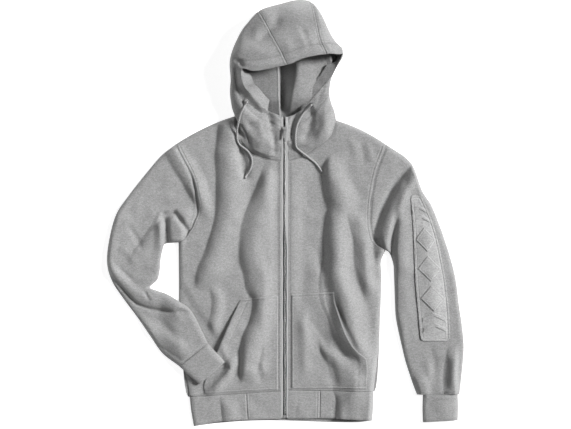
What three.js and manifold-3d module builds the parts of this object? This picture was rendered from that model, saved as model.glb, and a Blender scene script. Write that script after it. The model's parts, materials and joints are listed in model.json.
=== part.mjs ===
// A zip up hoodie in grey fleece, laid flat on its back: the hood stands puffed open, the left sleeve is
// bent with its cuff on the front, and the right sleeve lies straight beside the body.
// Millimetres, +Z up, +Y towards the hood, +X to the right as seen from above, the zip near X = 0.
import * as THREE from 'three';
import { mergeVertices } from 'three/addons/utils/BufferGeometryUtils.js';
import Module from 'manifold-3d';

const wasm = await Module();
wasm.setup();

// Driving sizes
const CLOTH = 2.4; // fleece wall
const RIB = 3; // doubled rib of hem and cuffs
const SEAM = 0.25; // what each of two pieces gives up where they are sewn together
const CLEAR = 0.3; // between pieces that lie on each other
const PUFF = 9; // how high a front lies above its own side edge
const ROLL = 13; // radius of the rolled side edges
const ZIP_MID = 0.5;
const ZIP_HALF = 8.5; // from the zip's middle to a front's edge
const CHAIN = { width: 6, top: 0.4, thick: 2.4, low: -473, high: 205 }; // top is set against the zip's rise
const TAPE = { thick: 1, drop: 0.8, low: -480, high: 226 };
const POCKET_WALL = 2.2;
const PATCH_WALL = 1.6;
const PRESSED = 5; // height left in the front under the bent sleeve
const REST = 11.2; // height at which the bent sleeve's underside lies on the front
const CLIMB = 48; // length of its ramp up from the floor
const CLIMB_TOP = { y: -125, fade: 50 }; // above this y it lies on the floor beside the body
const LEAST_HOLLOW = 0.8; // height that is always left under an upper wall
const STEEPEST = 1.6; // a slanted wall isn't taken as taller than this times its thickness
const LIE = CLOTH + CLEAR; // lowest edge of a front, above the back panel
const [zipLeft, zipRight] = [ZIP_MID - ZIP_HALF, ZIP_MID + ZIP_HALF];

const FLEECE = { color: 0xa9a9ab, roughness: 0.95, metalness: 0 };
const RIBBING = { color: 0xa3a3a5, roughness: 0.95, metalness: 0 };
const METAL = { color: 0xb9bbbf, roughness: 0.3, metalness: 1 };
const TAPE_CLOTH = { color: 0x9a9a9d, roughness: 0.85, metalness: 0 };
const CORD = { color: 0xb0b0b2, roughness: 0.9, metalness: 0 };

// A table is a list of rows with named columns.
const table = (names, ...rows) =>
  rows.map((row) => Object.fromEntries(names.split(' ').map((name, i) => [name, row[i]])));

// The body's rows run from the zip edge (in) to the side or armhole (out), in three groups with corners between
// them: hem to armpit, armpit to the neckline's corner, and from there to the shoulder line.
const ROW = 'inX inY outX outY';
const BODY_LEFT = {
  side: table(ROW,
    [-8, -417, -223, -431],
    [-8, -330, -238, -335],
    [-8, -235, -247, -240],
    [-8, -135, -248, -150],
    [-8, -40, -249, -68]),
  chest: table(ROW,
    [-8, -40, -249, -68],
    [-8, 3, -233, -57],
    [-8, 45, -214, -25],
    [-8, 86, -203, 12],
    [-8, 123, -208, 50]),
  yoke: table(ROW,
    [-8, 123, -208, 50],
    [-40, 128, -216, 82],
    [-76, 141, -230, 112],
    [-106, 167, -244, 138],
    [-119, 228, -256, 162]),
};
const BODY_RIGHT = {
  side: table(ROW,
    [9, -415, 209, -418],
    [9, -325, 219, -335],
    [9, -235, 225, -240],
    [9, -135, 228, -150],
    [9, -95, 226.5, -114],
    [9, -55, 237, -86]),
  chest: table(ROW,
    [9, -55, 237, -86],
    [9, -15, 214, -71],
    [9, 30, 204, -44],
    [9, 75, 201, -4],
    [9, 123, 204, 38]),
  yoke: table(ROW,
    [9, 123, 204, 38],
    [46, 135, 210, 72],
    [78, 157, 218, 104],
    [108, 184, 229, 134],
    [123, 218, 240, 161]),
};
const SHOULDER_ARCH = 6; // how far the shoulder line bows out
const SIDE_STEPS = 10;
const CHEST_STEPS = [0, 0.12, 0.4, 1, 1.7, 2.4, 3.2, 4];
const YOKE_STEPS = [0, 0.6, 1.2, 1.8, 2.4, 3, 3.5, 3.85, 4];
const FRONT_COLUMNS = [0, 0.07, 0.14, 0.21, 0.28, 0.35, 0.42, 0.49, 0.56, 0.63, 0.7, 0.77, 0.84, 0.9, 0.945, 0.975,
  0.992, 1];

// Back neck seam from the left neck point to the right one
const BACK_NECK = table('x y', [-119, 228], [-95, 219], [-60, 212], [-25, 209], [0, 208], [25, 208], [60, 209],
  [92, 212], [110, 215], [123, 218]);

// The sleeves' rows run from the outer edge (out) to the inner edge (in), from the armhole down to the cuff seam.
const SLEEVE_LEFT = table('outX outY inX inY',
  [-256, 162, -249, -68],
  [-290, 135, -265, -69],
  [-330, 88, -281, -72],
  [-366, 42, -287, -88],
  [-395, -1, -291, -109],
  [-411, -57, -293, -133],
  [-417, -114, -299, -156],
  [-405, -159, -316, -173],
  [-376, -203, -300, -181],
  [-344, -246, -274, -190],
  [-314, -290, -246, -207],
  [-286, -329, -217, -231],
  [-247, -358, -180, -304]);
const SLEEVE_RIGHT = table('outX outY inX inY',
  [240, 161, 237, -86],
  [263, 146, 244, -90],
  [285, 131, 248, -96],
  [304, 107, 252, -106],
  [323, 54, 256, -122],
  [344, 21, 257, -142],
  [362, -22, 258, -168],
  [378, -67, 259, -200],
  [393, -116, 261, -240],
  [403, -160, 267, -274],
  [410, -216, 276, -314],
  [417, -264, 284, -347],
  [421, -309, 293, -375],
  [419, -350, 302, -402],
  [411, -424, 311, -425]);
const SLEEVE_STEPS = 16;
const CUFF_LEFT = table('outX outY inX inY', [-247, -358, -180, -304], [-222, -381, -159, -327],
  [-199, -401, -140, -348]);
const CUFF_RIGHT = table('outX outY inX inY', [407, -424, 325, -425], [408, -457, 324, -459],
  [407, -485, 325, -490]);
const CUFF_COLUMNS = [0, 0.03, 0.1, 0.2, 0.35, 0.5, 0.65, 0.8, 0.9, 0.97, 1];

// The hem's lower edge, on the front and on the back
const HEM_SEAM = table('x y', [-223, -431], [-8, -417], [9, -415], [209, -418]);
const HEM_SIDES = table('left right', [-223, 209], [-219, 208.5], [-213, 206]);
const HEM_FRONT = table('x y', [-213, -499], [-148, -488], [-74, -484], [0, -482], [110, -481], [206, -486]);
const HEM_BACK = table('x y', [-213, -499], [-148, -491], [-74, -486], [0, -486], [107, -489.5], [173, -489.5],
  [206, -486]);
const HEM_ROWS = 3;
const HEM_JOIN_LEFT = -90; // seams of the end pieces
const HEM_JOIN_RIGHT = 83;

// Folds. Each runs along y (or along x) through its rows: the cloth rises from a creased foot to a rounded
// crest, by lift, and sinks again over the tail. "on" names where it lies: b body, l left and r right sleeve.
const fold = (on, lift, tail, ...rows) => ({ on, lift, tail, axis: 'y', rows: table('at foot crest', ...rows) });
const FOLDS = [
  fold('b', 14, 55, [-182, -213, -203], [-133, -206, -175], [-93, -189, -161], [-43, -173, -144],
    [4, -163, -133], [76, -161, -130], [147, -163, -130], [208, -154, -128], [250, -150, -125]),
  fold('b', 16, 50, [-403, -106, -96], [-370, -105, -91], [-323, -105, -83], [-276, -95, -65], [-253, -83, -55],
    [-203, -74, -48], [-180, -90, -48], [-144, -97, -55], [-116, -105, -69], [-69, -107, -69],
    [-20, -100, -62], [27, -83, -50], [76, -60, -36], [114, -53, -34]),
  fold('b', 6, 20, [-300, -190, -178], [-255, -178, -163], [-206, -171, -156], [-160, -182, -168]),
  fold('b', 5, 25, [-395, -70, -60], [-384, -67, -55], [-323, -53, -41], [-300, -50, -40]),
  fold('b', 15, 45, [-350, 152, 170], [-335, 145, 166], [-311, 130, 166], [-285, 112, 162], [-250, 102, 156],
    [-203, 83, 147], [-156, 81, 121], [-116, 88, 119], [-69, 90, 119], [-20, 95, 121], [15, 100, 133],
    [43, 93, 133], [100, 90, 107], [142, 104, 112]),
  fold('b', 9, 28, [-215, 186, 204], [-175, 180, 201], [-156, 173, 194], [-116, 163, 189], [-69, 161, 187],
    [-15, 149, 173], [15, 145, 165]),
  fold('b', 12, 50, [-540, 121, 135], [-473, 121, 137], [-438, 121, 147], [-415, 114, 163], [-391, 109, 159],
    [-356, 100, 133], [-318, 83, 100], [-290, 78, 92]),
  fold('b', 6, 30, [-540, -143, -126], [-485, -146, -128], [-450, -150, -133], [-420, -153, -140]),
  fold('bl', 9, 40, [10, -212, -204], [22, -213, -203], [50, -227, -209], [76, -243, -217], [100, -260, -231],
    [126, -274, -246], [147, -283, -260], [190, -290, -268]),
  fold('bl', 6, 25, [-20, -205, -190], [4, -203, -189], [43, -208, -196], [81, -215, -205],
    [105, -220, -212]),
  fold('bl', 7, 20, [-95, -278, -252], [-69, -277, -248], [-30, -272, -240], [0, -264, -232],
    [25, -260, -236]),
  fold('l', 8, 45, [-125, -375, -352], [-83, -352, -328], [-45, -325, -303], [-6, -300, -281],
    [20, -290, -272]),
  fold('l', 8, 20, [-105, -282, -292], [-69, -279, -290], [-20, -274, -288], [20, -266, -282]),
  fold('br', 15, 22, [-130, 214, 243], [-67, 208, 241], [-20, 220, 250], [15, 234, 264], [65, 260, 288],
    [107, 293, 316], [140, 310, 325]),
  fold('r', 9, 40, [-160, 256, 274], [-116, 253, 271], [-67, 251, 270], [-18, 264, 282], [15, 272, 287]),
  fold('r', 9, 15, [-480, 374, 398], [-424, 374, 398], [-382, 371, 396], [-335, 379, 398],
    [-300, 384, 400]),
  fold('r', 7, 20, [-480, 314, 332], [-429, 311, 330], [-394, 304, 323], [-360, 300, 314]),
  { ...fold('l', 9, 25, [-430, -125, -113], [-410, -142, -126], [-386, -170, -150], [-347, -211, -188],
    [-314, -223, -200], [-266, -230, -212], [-234, -228, -214], [-205, -250, -238]), axis: 'x' },
  { ...fold('l', 6, 30, [-350, -262, -238], [-314, -297, -274], [-234, -349, -321], [-200, -370, -345]),
    axis: 'x' },
];
const FOLD_FADE = 40; // length over which a fold dies out at each end

// Height of the zip above the floor, along y
const ZIP_RISE = table('y z', [-482, 9.5], [-425, 12.5], [60, 12.5], [100, 13.5], [123, 16], [150, 21], [178, 26],
  [205, 28], [226, 27]);
const ZIP_FLAT = 45; // beside the zip the folds fade within this width

// Outline of the pressed place on the front under the bent sleeve
const PRESS = table('x y', [-300, -170], [-205, -190], [-150, -300], [-108, -350], [-195, -430], [-300, -430]);
const PRESS_FADE = 30;

// The hood, station by station from the zip's left edge over the crown to its right edge. The neck points come
// from the neckline; each station then runs through low, side and crest to the rim.
const POINTS = 'low side crest rim';
const HOOD = table(POINTS,
  [[-8, 150, 21], [-8, 178, 26], [-8, 205, 28], [-8, 226, 27]],
  [[-39, 150, 27], [-38, 182, 32], [-37, 212, 33], [-37, 237, 30]],
  [[-77, 160, 29], [-76, 192, 37], [-68, 225, 41], [-58, 250, 38]],
  [[-98, 183, 25], [-106, 213, 38], [-96, 248, 52], [-79, 275, 50]],
  [[-114, 244, 7], [-127, 266, 24], [-117, 290, 56], [-94, 301, 62]],
  [[-112, 300, 0], [-127, 350, 30], [-117, 346, 70], [-96, 337, 78]],
  [[-80, 350, 0], [-103, 420, 32], [-90, 385, 84], [-69, 331, 88]],
  [[-40, 400, 0], [-62, 471, 30], [-18, 394, 94], [6, 345, 86]],
  [[-5, 420, 0], [-1, 491, 28], [36, 408, 90], [48, 361, 82]],
  [[40, 420, 0], [61, 495, 26], [81, 412, 74], [97, 370, 70]],
  [[88, 370, 0], [104, 427, 24], [118, 396, 52], [121, 371, 63]],
  [[104, 320, 0], [122, 372, 16], [134, 380, 38], [138, 371, 55]],
  [[95, 290, 0], [102, 318, 15], [113, 328, 36], [120, 336, 52]],
  [[112, 238, 6], [104, 264, 22], [102, 286, 38], [94, 300, 47]],
  [[106, 200, 20], [100, 232, 30], [88, 258, 38], [73, 277, 42]],
  [[78, 175, 24], [75, 205, 31], [68, 232, 37], [57, 258, 37]],
  [[47, 155, 24], [46, 185, 29], [43, 212, 31], [28, 233, 31]],
  [[9, 150, 21], [9, 178, 26], [9, 205, 28], [9, 226, 27]]);
const HOOD_SEAMS = [7, 9]; // stations of the centre panel's two seams
const FRONT_STATIONS = 4; // stations of each side of the neck that lie on a front
const HOOD_STEPS = 14;
const NECK_POINT_GAP = 0.8; // room at the neck points, where front, back and hood meet

const POCKET_LEFT = [[-15, -192], [-48, -196], [-104, -202], [-131, -262], [-157, -322], [-175, -365],
  [-189, -401], [-186, -424], [-15, -414]];
const POCKET_RIGHT = [[16, -190], [83, -187.5], [116, -184], [119, -210], [127, -234], [137, -264], [146, -286],
  [159, -309], [173, -325], [192, -343], [192, -412], [83, -409], [16, -412]];
const PATCH = [[306, 42], [299, 36], [297, 24], [303, -55], [307, -156], [314, -235], [319, -292], [325, -299],
  [382, -296], [388, -290], [385, -220], [378, -160], [370, -116], [360, -67], [348, -25], [332, 15], [320, 38],
  [314, 42]];

// Slider, pull tab, stop and eyelets
const SLIDER_Y = 196;
const SLIDER = { width: 10, length: 13, height: 2.6 };
const LUG = { width: 1.3, length: 4, height: 4, sunk: 0.5 };
const PULL = { width: 5.6, length: 21, thick: 1.2, knuckle: 1.3, neck: 3.6, shoulder: 4 };
const STOP = { width: 6, length: 6, height: 2.2 };
const EYELET = { outer: 5.5, hole: 2.9, height: 1.2 };
const EYELET_AT = { left: [3, 3.45], right: [14.85, 3.7] }; // station, place along it
const CORD_RADIUS = 2.3;
const ROUTE_LEFT = [[-91.5, 253.5], [-95, 246], [-102, 233], [-107, 214], [-110, 199], [-111, 182], [-108, 166], [-100, 157],
  [-90, 150], [-81, 139], [-76, 126], [-77, 112], [-83, 98], [-90, 88], [-92, 82]];
const ROUTE_RIGHT = [[58, 248.5], [53, 244], [47, 237], [40, 228], [33, 215], [28, 200], [26, 184], [26, 168], [28, 155],
  [36, 147], [48, 138], [61, 128], [74, 117], [88, 98]];
const CORD_RISE = [0.6, 3.2, 6.2]; // how a cord stands up out of its eyelet before it bends
const CORD_PLACES = 30; // where a cord's height is taken from what it lies on
const CORD_DROP = 3.5; // the most that it falls from one place to the next
const CORD_STEPS = 46;

const smooth = (value) => {
  const s = Math.min(Math.max(value, 0), 1);
  return s * s * (3 - 2 * s);
};
const mix = (a, b, t) => a + (b - a) * t;

// Cubic curve through values at rising knots, with slopes from the neighbours on both sides
function spline(knots, values, at) {
  const last = knots.length - 1;
  if (at <= knots[0]) return values[0];
  if (at >= knots[last]) return values[last];
  let i = 0;
  while (at > knots[i + 1]) i += 1;
  const slope = (k) => {
    const [a, b] = [Math.max(k - 1, 0), Math.min(k + 1, last)];
    return (values[b] - values[a]) / (knots[b] - knots[a]);
  };
  const h = knots[i + 1] - knots[i];
  const s = (at - knots[i]) / h;
  const r = 1 - s;
  return (1 + 2 * s) * r * r * values[i] + s * r * r * h * slope(i)
    + s * s * (3 - 2 * s) * values[i + 1] - s * s * r * h * slope(i + 1);
}
const column = (rows, name) => rows.map((row) => row[name]);
const along = (rows, key, name, at) => spline(column(rows, key), column(rows, name), at);
const between = (rows, name, t) => spline(rows.map((_, i) => i), column(rows, name), t);

// Height that one fold adds at a place: a parabola from foot to crest, then a smooth tail
function foldLift({ axis, rows, lift, tail }, x, y) {
  const [run, across] = axis === 'x' ? [x, y] : [y, x];
  const [first, last] = [rows[0].at, rows[rows.length - 1].at];
  if (run <= first || run >= last) return 0;
  const foot = along(rows, 'at', 'foot', run);
  const crest = along(rows, 'at', 'crest', run);
  const q = (across - foot) / (crest - foot);
  if (q <= 0) return 0;
  const shape = q < 1 ? 1 - (1 - q) ** 2 : 1 - smooth((q - 1) * Math.abs(crest - foot) / tail);
  return lift * shape * smooth((run - first) / FOLD_FADE) * smooth((last - run) / FOLD_FADE);
}

// How far a place lies outside the pressed outline, as the largest distance to one of its edges
function outsidePress(x, y) {
  let far = -Infinity;
  PRESS.forEach((a, i) => {
    const b = PRESS[(i + 1) % PRESS.length];
    const length = Math.hypot(b.x - a.x, b.y - a.y);
    far = Math.max(far, ((b.x - a.x) * (y - a.y) - (b.y - a.y) * (x - a.x)) / length);
  });
  return far;
}

// Height of the cloth above its own edge: the puff, its folds, flattened beside the zip and under the bent sleeve
function height(x, y, on) {
  let h = PUFF + FOLDS.filter((one) => one.on.includes(on)).reduce((sum, one) => sum + foldLift(one, x, y), 0);
  if (on === 'b') {
    const zip = along(ZIP_RISE, 'y', 'z', y) - LIE;
    h = mix(zip, h, smooth((Math.abs(x - ZIP_MID) - ZIP_HALF) / ZIP_FLAT));
    h = mix(PRESSED, h, smooth(outsidePress(x, y) / PRESS_FADE));
  }
  return h;
}

// Length of a slanted wall measured straight down, for a wall one unit thick
function slant(x, y, on) {
  const step = 2;
  const dx = (height(x + step, y, on) - height(x - step, y, on)) / (2 * step);
  const dy = (height(x, y + step, on) - height(x, y - step, on)) / (2 * step);
  return Math.min(Math.hypot(1, dx, dy), STEEPEST);
}

const rollUp = (d) => Math.sqrt(1 - (1 - Math.min(d / ROLL, 1)) ** 2);

// Underside of the bent sleeve: on the floor, then up a ramp onto the front
function climb(x, y) {
  const side = along(BODY_LEFT.side, 'outY', 'outX', y);
  return REST * smooth((x - side + CLIMB) / CLIMB) * smooth((CLIMB_TOP.y - y) / CLIMB_TOP.fade);
}

// Closed wall between an outer and an inner grid of points, turned right way out
function wall(outer, inner, wrap = false) {
  const [rows, cols] = [outer.length, outer[0].length];
  const points = [...outer.flat(), ...inner.flat()];
  const faces = [];
  const quad = (a, b, c, d) => faces.push(a, b, c, a, c, d);
  const out = (i, j) => i * cols + (j % cols);
  const inn = (i, j) => rows * cols + i * cols + (j % cols);
  const across = wrap ? cols : cols - 1;
  for (let i = 0; i < rows - 1; i += 1) {
    for (let j = 0; j < across; j += 1) {
      quad(out(i, j), out(i, j + 1), out(i + 1, j + 1), out(i + 1, j));
      quad(inn(i, j), inn(i + 1, j), inn(i + 1, j + 1), inn(i, j + 1));
    }
    if (!wrap) {
      quad(out(i, 0), out(i + 1, 0), inn(i + 1, 0), inn(i, 0));
      quad(out(i + 1, cols - 1), out(i, cols - 1), inn(i, cols - 1), inn(i + 1, cols - 1));
    }
  }
  for (let j = 0; j < across; j += 1) {
    quad(out(0, j + 1), out(0, j), inn(0, j), inn(0, j + 1));
    quad(out(rows - 1, j), out(rows - 1, j + 1), inn(rows - 1, j + 1), inn(rows - 1, j));
  }
  return rightWayOut(points, faces);
}

function rightWayOut(points, faces) {
  let volume = 0;
  for (let f = 0; f < faces.length; f += 3) {
    const [a, b, c] = [points[faces[f]], points[faces[f + 1]], points[faces[f + 2]]];
    volume += a.dot(b.clone().cross(c));
  }
  const order = volume > 0 ? faces : faces.toReversed();
  const geometry = new THREE.BufferGeometry().setFromPoints(points);
  geometry.setIndex(order);
  return mergeVertices(geometry, 1e-4);
}

// Moves a grid's edge points by a seam allowance towards their neighbours; rows from first on
function trimColumn(grids, edge, next, first = 0, gap = SEAM) {
  grids.forEach((grid) => grid.slice(first).forEach((row) => {
    const [a, b] = [row.at(edge), row.at(next)];
    a.add(b.clone().sub(a).setLength(gap));
  }));
}
function trimRow(grids, edge, next) {
  grids.forEach((grid) => grid.at(edge).forEach((a, j) => {
    a.add(grid.at(next)[j].clone().sub(a).setLength(SEAM));
  }));
}

// Ends of one row of the body at place t within one of its three groups
function ends(rows, t) {
  const get = (name) => between(rows, name, t);
  return { inner: new THREE.Vector2(get('inX'), get('inY')), outer: new THREE.Vector2(get('outX'), get('outY')) };
}

// All rows of a front, from the hem seam to the shoulder line
function bodyRows(body) {
  const last = body.side.length - 1;
  const side = Array.from({ length: SIDE_STEPS }, (_, i) => ends(body.side, last * i / SIDE_STEPS));
  const chest = CHEST_STEPS.slice(0, -1).map((t) => ends(body.chest, t));
  const yoke = YOKE_STEPS.map((t) => ends(body.yoke, t));
  return [...side, ...chest, ...yoke];
}
const FIRST_CHEST = SIDE_STEPS;
const FIRST_YOKE = SIDE_STEPS + CHEST_STEPS.length - 1;

// Plan of a front: straight rows, with the top ones bowed out towards the shoulder line's arch
function frontPlan(body) {
  const rows = bodyRows(body);
  const top = rows.length - 1;
  return rows.map(({ inner, outer }, i) => FRONT_COLUMNS.map((u) => {
    const bow = SHOULDER_ARCH * 4 * u * (1 - u) * smooth((i - FIRST_YOKE) / (top - FIRST_YOKE));
    return inner.clone().lerp(outer, u).add(new THREE.Vector2(0, bow));
  }));
}

// A front: its outer and inner grid from the plan, rolled down at the side and along the shoulder
function frontGrids(body) {
  const plan = frontPlan(body);
  const armpit = plan[FIRST_CHEST].at(-1);
  const shoulder = plan.at(-1);
  const outer = [];
  const inner = [];
  plan.forEach((row, i) => {
    outer.push([]);
    inner.push([]);
    row.forEach((p, j) => {
      const sideEnd = i < FIRST_CHEST ? row.at(-1) : armpit;
      const side = p.distanceTo(sideEnd);
      const top = p.distanceTo(shoulder[j]);
      const d = Math.min(side, top);
      const h = height(p.x, p.y, 'b');
      const tuck = CLOTH * Math.max(0, 1 - d / ROLL);
      const inward = new THREE.Vector2();
      if (side < top) inward.copy(i < FIRST_CHEST ? row[0] : p).sub(sideEnd);
      else inward.copy(plan.at(-2)[j]).sub(shoulder[j]);
      if (inward.length() > 0) inward.setLength(tuck);
      outer[i].push(new THREE.Vector3(p.x, p.y, LIE + h * rollUp(d)));
      const under = Math.max(h - CLOTH * slant(p.x, p.y, 'b'), LEAST_HOLLOW);
      const q = p.clone().add(inward);
      inner[i].push(new THREE.Vector3(q.x, q.y, LIE + under * rollUp(d)));
    });
  });
  return { outer, inner };
}

function frontPiece(body) {
  const { outer, inner } = frontGrids(body);
  const grids = [outer, inner];
  trimRow(grids, 0, 1);
  trimColumn(grids, -1, -2, FIRST_CHEST);
  trimColumn(grids, 0, 1, FIRST_YOKE);
  return wall(outer, inner);
}

// Flat plate from an outline that is drawn in by the seam allowance
function plate(outline, thick, bottom = 0) {
  const drawnIn = outline.map((p, i) => {
    const [a, b] = [outline.at(i - 1), outline[(i + 1) % outline.length]];
    const normal = new THREE.Vector2(a.y - b.y, b.x - a.x).setLength(SEAM);
    return p.clone().add(normal);
  });
  const geometry = new THREE.ExtrudeGeometry(new THREE.Shape(drawnIn), { depth: thick, bevelEnabled: false });
  return geometry.translate(0, 0, bottom);
}

// The back: hem seam, right side, armhole and shoulder, back neck, and down the left side, anticlockwise
function backPanel() {
  const left = frontPlan(BODY_LEFT);
  const right = frontPlan(BODY_RIGHT);
  const neck = backNeck().slice(1, -1).map(({ x, y }) => new THREE.Vector2(x, y));
  const outline = [
    ...left[0].toReversed(), ...right[0],
    ...right.slice(1, -1).map((row) => row.at(-1)), ...right.at(-1).toReversed(),
    ...neck.toReversed(),
    ...left.at(-1), ...left.slice(1, -1).map((row) => row.at(-1)).toReversed(),
  ];
  return plate(outline, CLOTH);
}

const BACK_NECK_STEPS = 18;
const backNeck = () => Array.from({ length: BACK_NECK_STEPS + 1 }, (_, i) => {
  const t = (BACK_NECK.length - 1) * i / BACK_NECK_STEPS;
  return { x: between(BACK_NECK, 'x', t), y: between(BACK_NECK, 'y', t) };
});

// A flattened tube over a plan of rows: its lower wall lies at base(x, y) above the floor, and both of its long
// edges are rolled
function tubeGrids(plan, on, thick, base, puff = 1) {
  const rings = { outer: [], inner: [] };
  plan.forEach((row) => {
    const top = { outer: [], inner: [] };
    const bottom = { outer: [], inner: [] };
    const middle = row[0].clone().lerp(row.at(-1), 0.5);
    row.forEach((p) => {
      const near = p.distanceTo(row[0]) < p.distanceTo(row.at(-1)) ? row[0] : row.at(-1);
      const d = p.distanceTo(near);
      const h = height(p.x, p.y, on) * puff;
      const floor = base(p.x, p.y);
      const inward = middle.clone().sub(near).setLength(thick * Math.max(0, 1 - d / ROLL));
      const q = p.clone().add(inward);
      const gap = thick + 2 * CLEAR;
      const under = Math.max(h - CLEAR - thick * slant(p.x, p.y, on), LEAST_HOLLOW);
      top.outer.push(new THREE.Vector3(p.x, p.y, floor + thick + CLEAR + h * rollUp(d)));
      top.inner.push(new THREE.Vector3(q.x, q.y, floor + gap + under * rollUp(d)));
      bottom.outer.push(new THREE.Vector3(p.x, p.y, floor));
      bottom.inner.push(new THREE.Vector3(q.x, q.y, floor + thick));
    });
    rings.outer.push([...top.outer, ...bottom.outer.toReversed()]);
    rings.inner.push([...top.inner, ...bottom.inner.toReversed()]);
  });
  return rings;
}

// Plan of a sleeve: straight rows, the first bent onto the armhole curve, whose bulge fades down the sleeve
const BULGE_ROWS = 4.5;
function sleevePlan(rows, body) {
  const armhole = bodyRows(body).slice(FIRST_CHEST).map(({ outer }) => outer).toReversed();
  const [tip, pit] = [armhole[0], armhole.at(-1)];
  const total = armhole.reduce((sum, p, i) => sum + (i ? p.distanceTo(armhole[i - 1]) : 0), 0);
  let run = 0;
  const places = armhole.map((p, i) => {
    run += i ? p.distanceTo(armhole[i - 1]) : 0;
    return run / total;
  });
  return Array.from({ length: SLEEVE_STEPS + 1 }, (_, i) => {
    const t = (rows.length - 1) * (i / SLEEVE_STEPS);
    const out = new THREE.Vector2(between(rows, 'outX', t), between(rows, 'outY', t));
    const inn = new THREE.Vector2(between(rows, 'inX', t), between(rows, 'inY', t));
    const fade = Math.max(0, 1 - t / BULGE_ROWS) ** 2;
    return places.map((u, j) => {
      const bulge = armhole[j].clone().sub(tip.clone().lerp(pit, u)).multiplyScalar(fade);
      return out.clone().lerp(inn, u).add(bulge);
    });
  });
}

function sleevePiece(rows, body, on, base) {
  const { outer, inner } = tubeGrids(sleevePlan(rows, body), on, CLOTH, base);
  trimRow([outer, inner], 0, 1);
  trimRow([outer, inner], -1, -2);
  return wall(outer, inner, true);
}

// The upper wall of a sleeve's outer grid, without its underside
function sleeveTop(rows, body, on, base) {
  const { outer } = tubeGrids(sleevePlan(rows, body), on, CLOTH, base);
  return outer.map((row) => row.slice(0, row.length / 2));
}

const CUFF_STEPS = 4;
function cuffPiece(rows, on, base, puff) {
  const plan = Array.from({ length: CUFF_STEPS + 1 }, (_, i) => {
    const t = (rows.length - 1) * (i / CUFF_STEPS);
    const out = new THREE.Vector2(between(rows, 'outX', t), between(rows, 'outY', t));
    const inn = new THREE.Vector2(between(rows, 'inX', t), between(rows, 'inY', t));
    return CUFF_COLUMNS.map((u) => out.clone().lerp(inn, u));
  });
  const { outer, inner } = tubeGrids(plan, on, RIB, base, puff);
  trimRow([outer, inner], 0, 1);
  return wall(outer, inner, true);
}

// The hem seam's y at x: straight along each front and across the zip
function hemSeam(x) {
  const i = x <= HEM_SEAM[1].x ? 0 : x <= HEM_SEAM[2].x ? 1 : 2;
  const [a, b] = [HEM_SEAM[i], HEM_SEAM[i + 1]];
  return mix(a.y, b.y, (x - a.x) / (b.x - a.x));
}

// A place on the hem at x between its side edges and v from the seam down to the lower edge
function hemPlace(x, v, lower) {
  const [left, right] = [between(HEM_SIDES, 'left', 2 * v), between(HEM_SIDES, 'right', 2 * v)];
  const [first, last] = [HEM_SEAM[0], HEM_SEAM[3]].map((end) => end.x);
  let at = x;
  if (x < zipLeft) at = mix(zipLeft, left, (x - zipLeft) / (first - zipLeft));
  if (x > zipRight) at = mix(zipRight, right, (x - zipRight) / (last - zipRight));
  return new THREE.Vector2(at, mix(hemSeam(x), along(lower, 'x', 'y', at), v));
}

// Columns of the hem between two places, close together near a rolled side edge
function hemColumns(from, to, steps, finer) {
  return Array.from({ length: steps + 1 }, (_, i) => {
    const t = i / steps;
    const eased = finer === 'start' ? 1 - Math.cos(t * Math.PI / 2) : Math.sin(t * Math.PI / 2);
    return mix(from, to, finer ? eased : t);
  });
}

// Top of the hem on the front: outer and inner point at a place
function hemTop(x, v) {
  const p = hemPlace(x, v, HEM_FRONT);
  const [left, right] = [hemPlace(HEM_SIDES[0].left, v, HEM_FRONT), hemPlace(HEM_SIDES[0].right, v, HEM_FRONT)];
  const near = p.distanceTo(left) < p.distanceTo(right) ? left : right;
  const d = p.distanceTo(near);
  const h = height(p.x, p.y, 'b');
  const tuck = Math.sign(ZIP_MID - near.x) * RIB * Math.max(0, 1 - d / ROLL);
  const under = Math.max(h - CLEAR - RIB * slant(p.x, p.y, 'b'), LEAST_HOLLOW);
  return {
    outer: new THREE.Vector3(p.x, p.y, LIE + h * rollUp(d)),
    inner: new THREE.Vector3(p.x + tuck, p.y, RIB + 2 * CLEAR + under * rollUp(d)),
    tuck,
  };
}

// The hem band: a flat C that starts at the left end piece, goes round the back and ends at the right end piece
function hemBand() {
  const [left, right] = [HEM_SIDES[0].left, HEM_SIDES[0].right];
  const topLeft = hemColumns(HEM_JOIN_LEFT - SEAM, left, 9, 'end');
  const topRight = hemColumns(right, HEM_JOIN_RIGHT + SEAM, 9, 'start');
  const under = [...hemColumns(left, HEM_SEAM[1].x, 8), ...hemColumns(HEM_SEAM[2].x, right, 8)];
  const outer = [];
  const inner = [];
  for (let i = 0; i <= HEM_ROWS; i += 1) {
    const v = i / HEM_ROWS;
    const tops = [topLeft.map((x) => hemTop(x, v)), topRight.map((x) => hemTop(x, v))];
    const floor = under.map((x, j) => {
      const p = hemPlace(x, v, HEM_BACK);
      const tuck = j === 0 ? tops[0].at(-1).tuck : j === under.length - 1 ? tops[1][0].tuck : 0;
      return { outer: new THREE.Vector3(p.x, p.y, 0), inner: new THREE.Vector3(p.x + tuck, p.y, RIB) };
    });
    const ring = [...tops[0], ...floor, ...tops[1]];
    outer.push(ring.map((place) => place.outer));
    inner.push(ring.map((place) => place.inner));
  }
  trimRow([outer, inner], 0, 1);
  return wall(outer, inner);
}

function hemEnd(from, to) {
  const columns = hemColumns(from, to, 7);
  const outer = [];
  const inner = [];
  for (let i = 0; i <= HEM_ROWS; i += 1) {
    const places = columns.map((x) => hemTop(x, i / HEM_ROWS));
    outer.push(places.map((place) => place.outer));
    inner.push(places.map((place) => place.inner));
  }
  trimRow([outer, inner], 0, 1);
  return wall(outer, inner);
}

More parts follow.
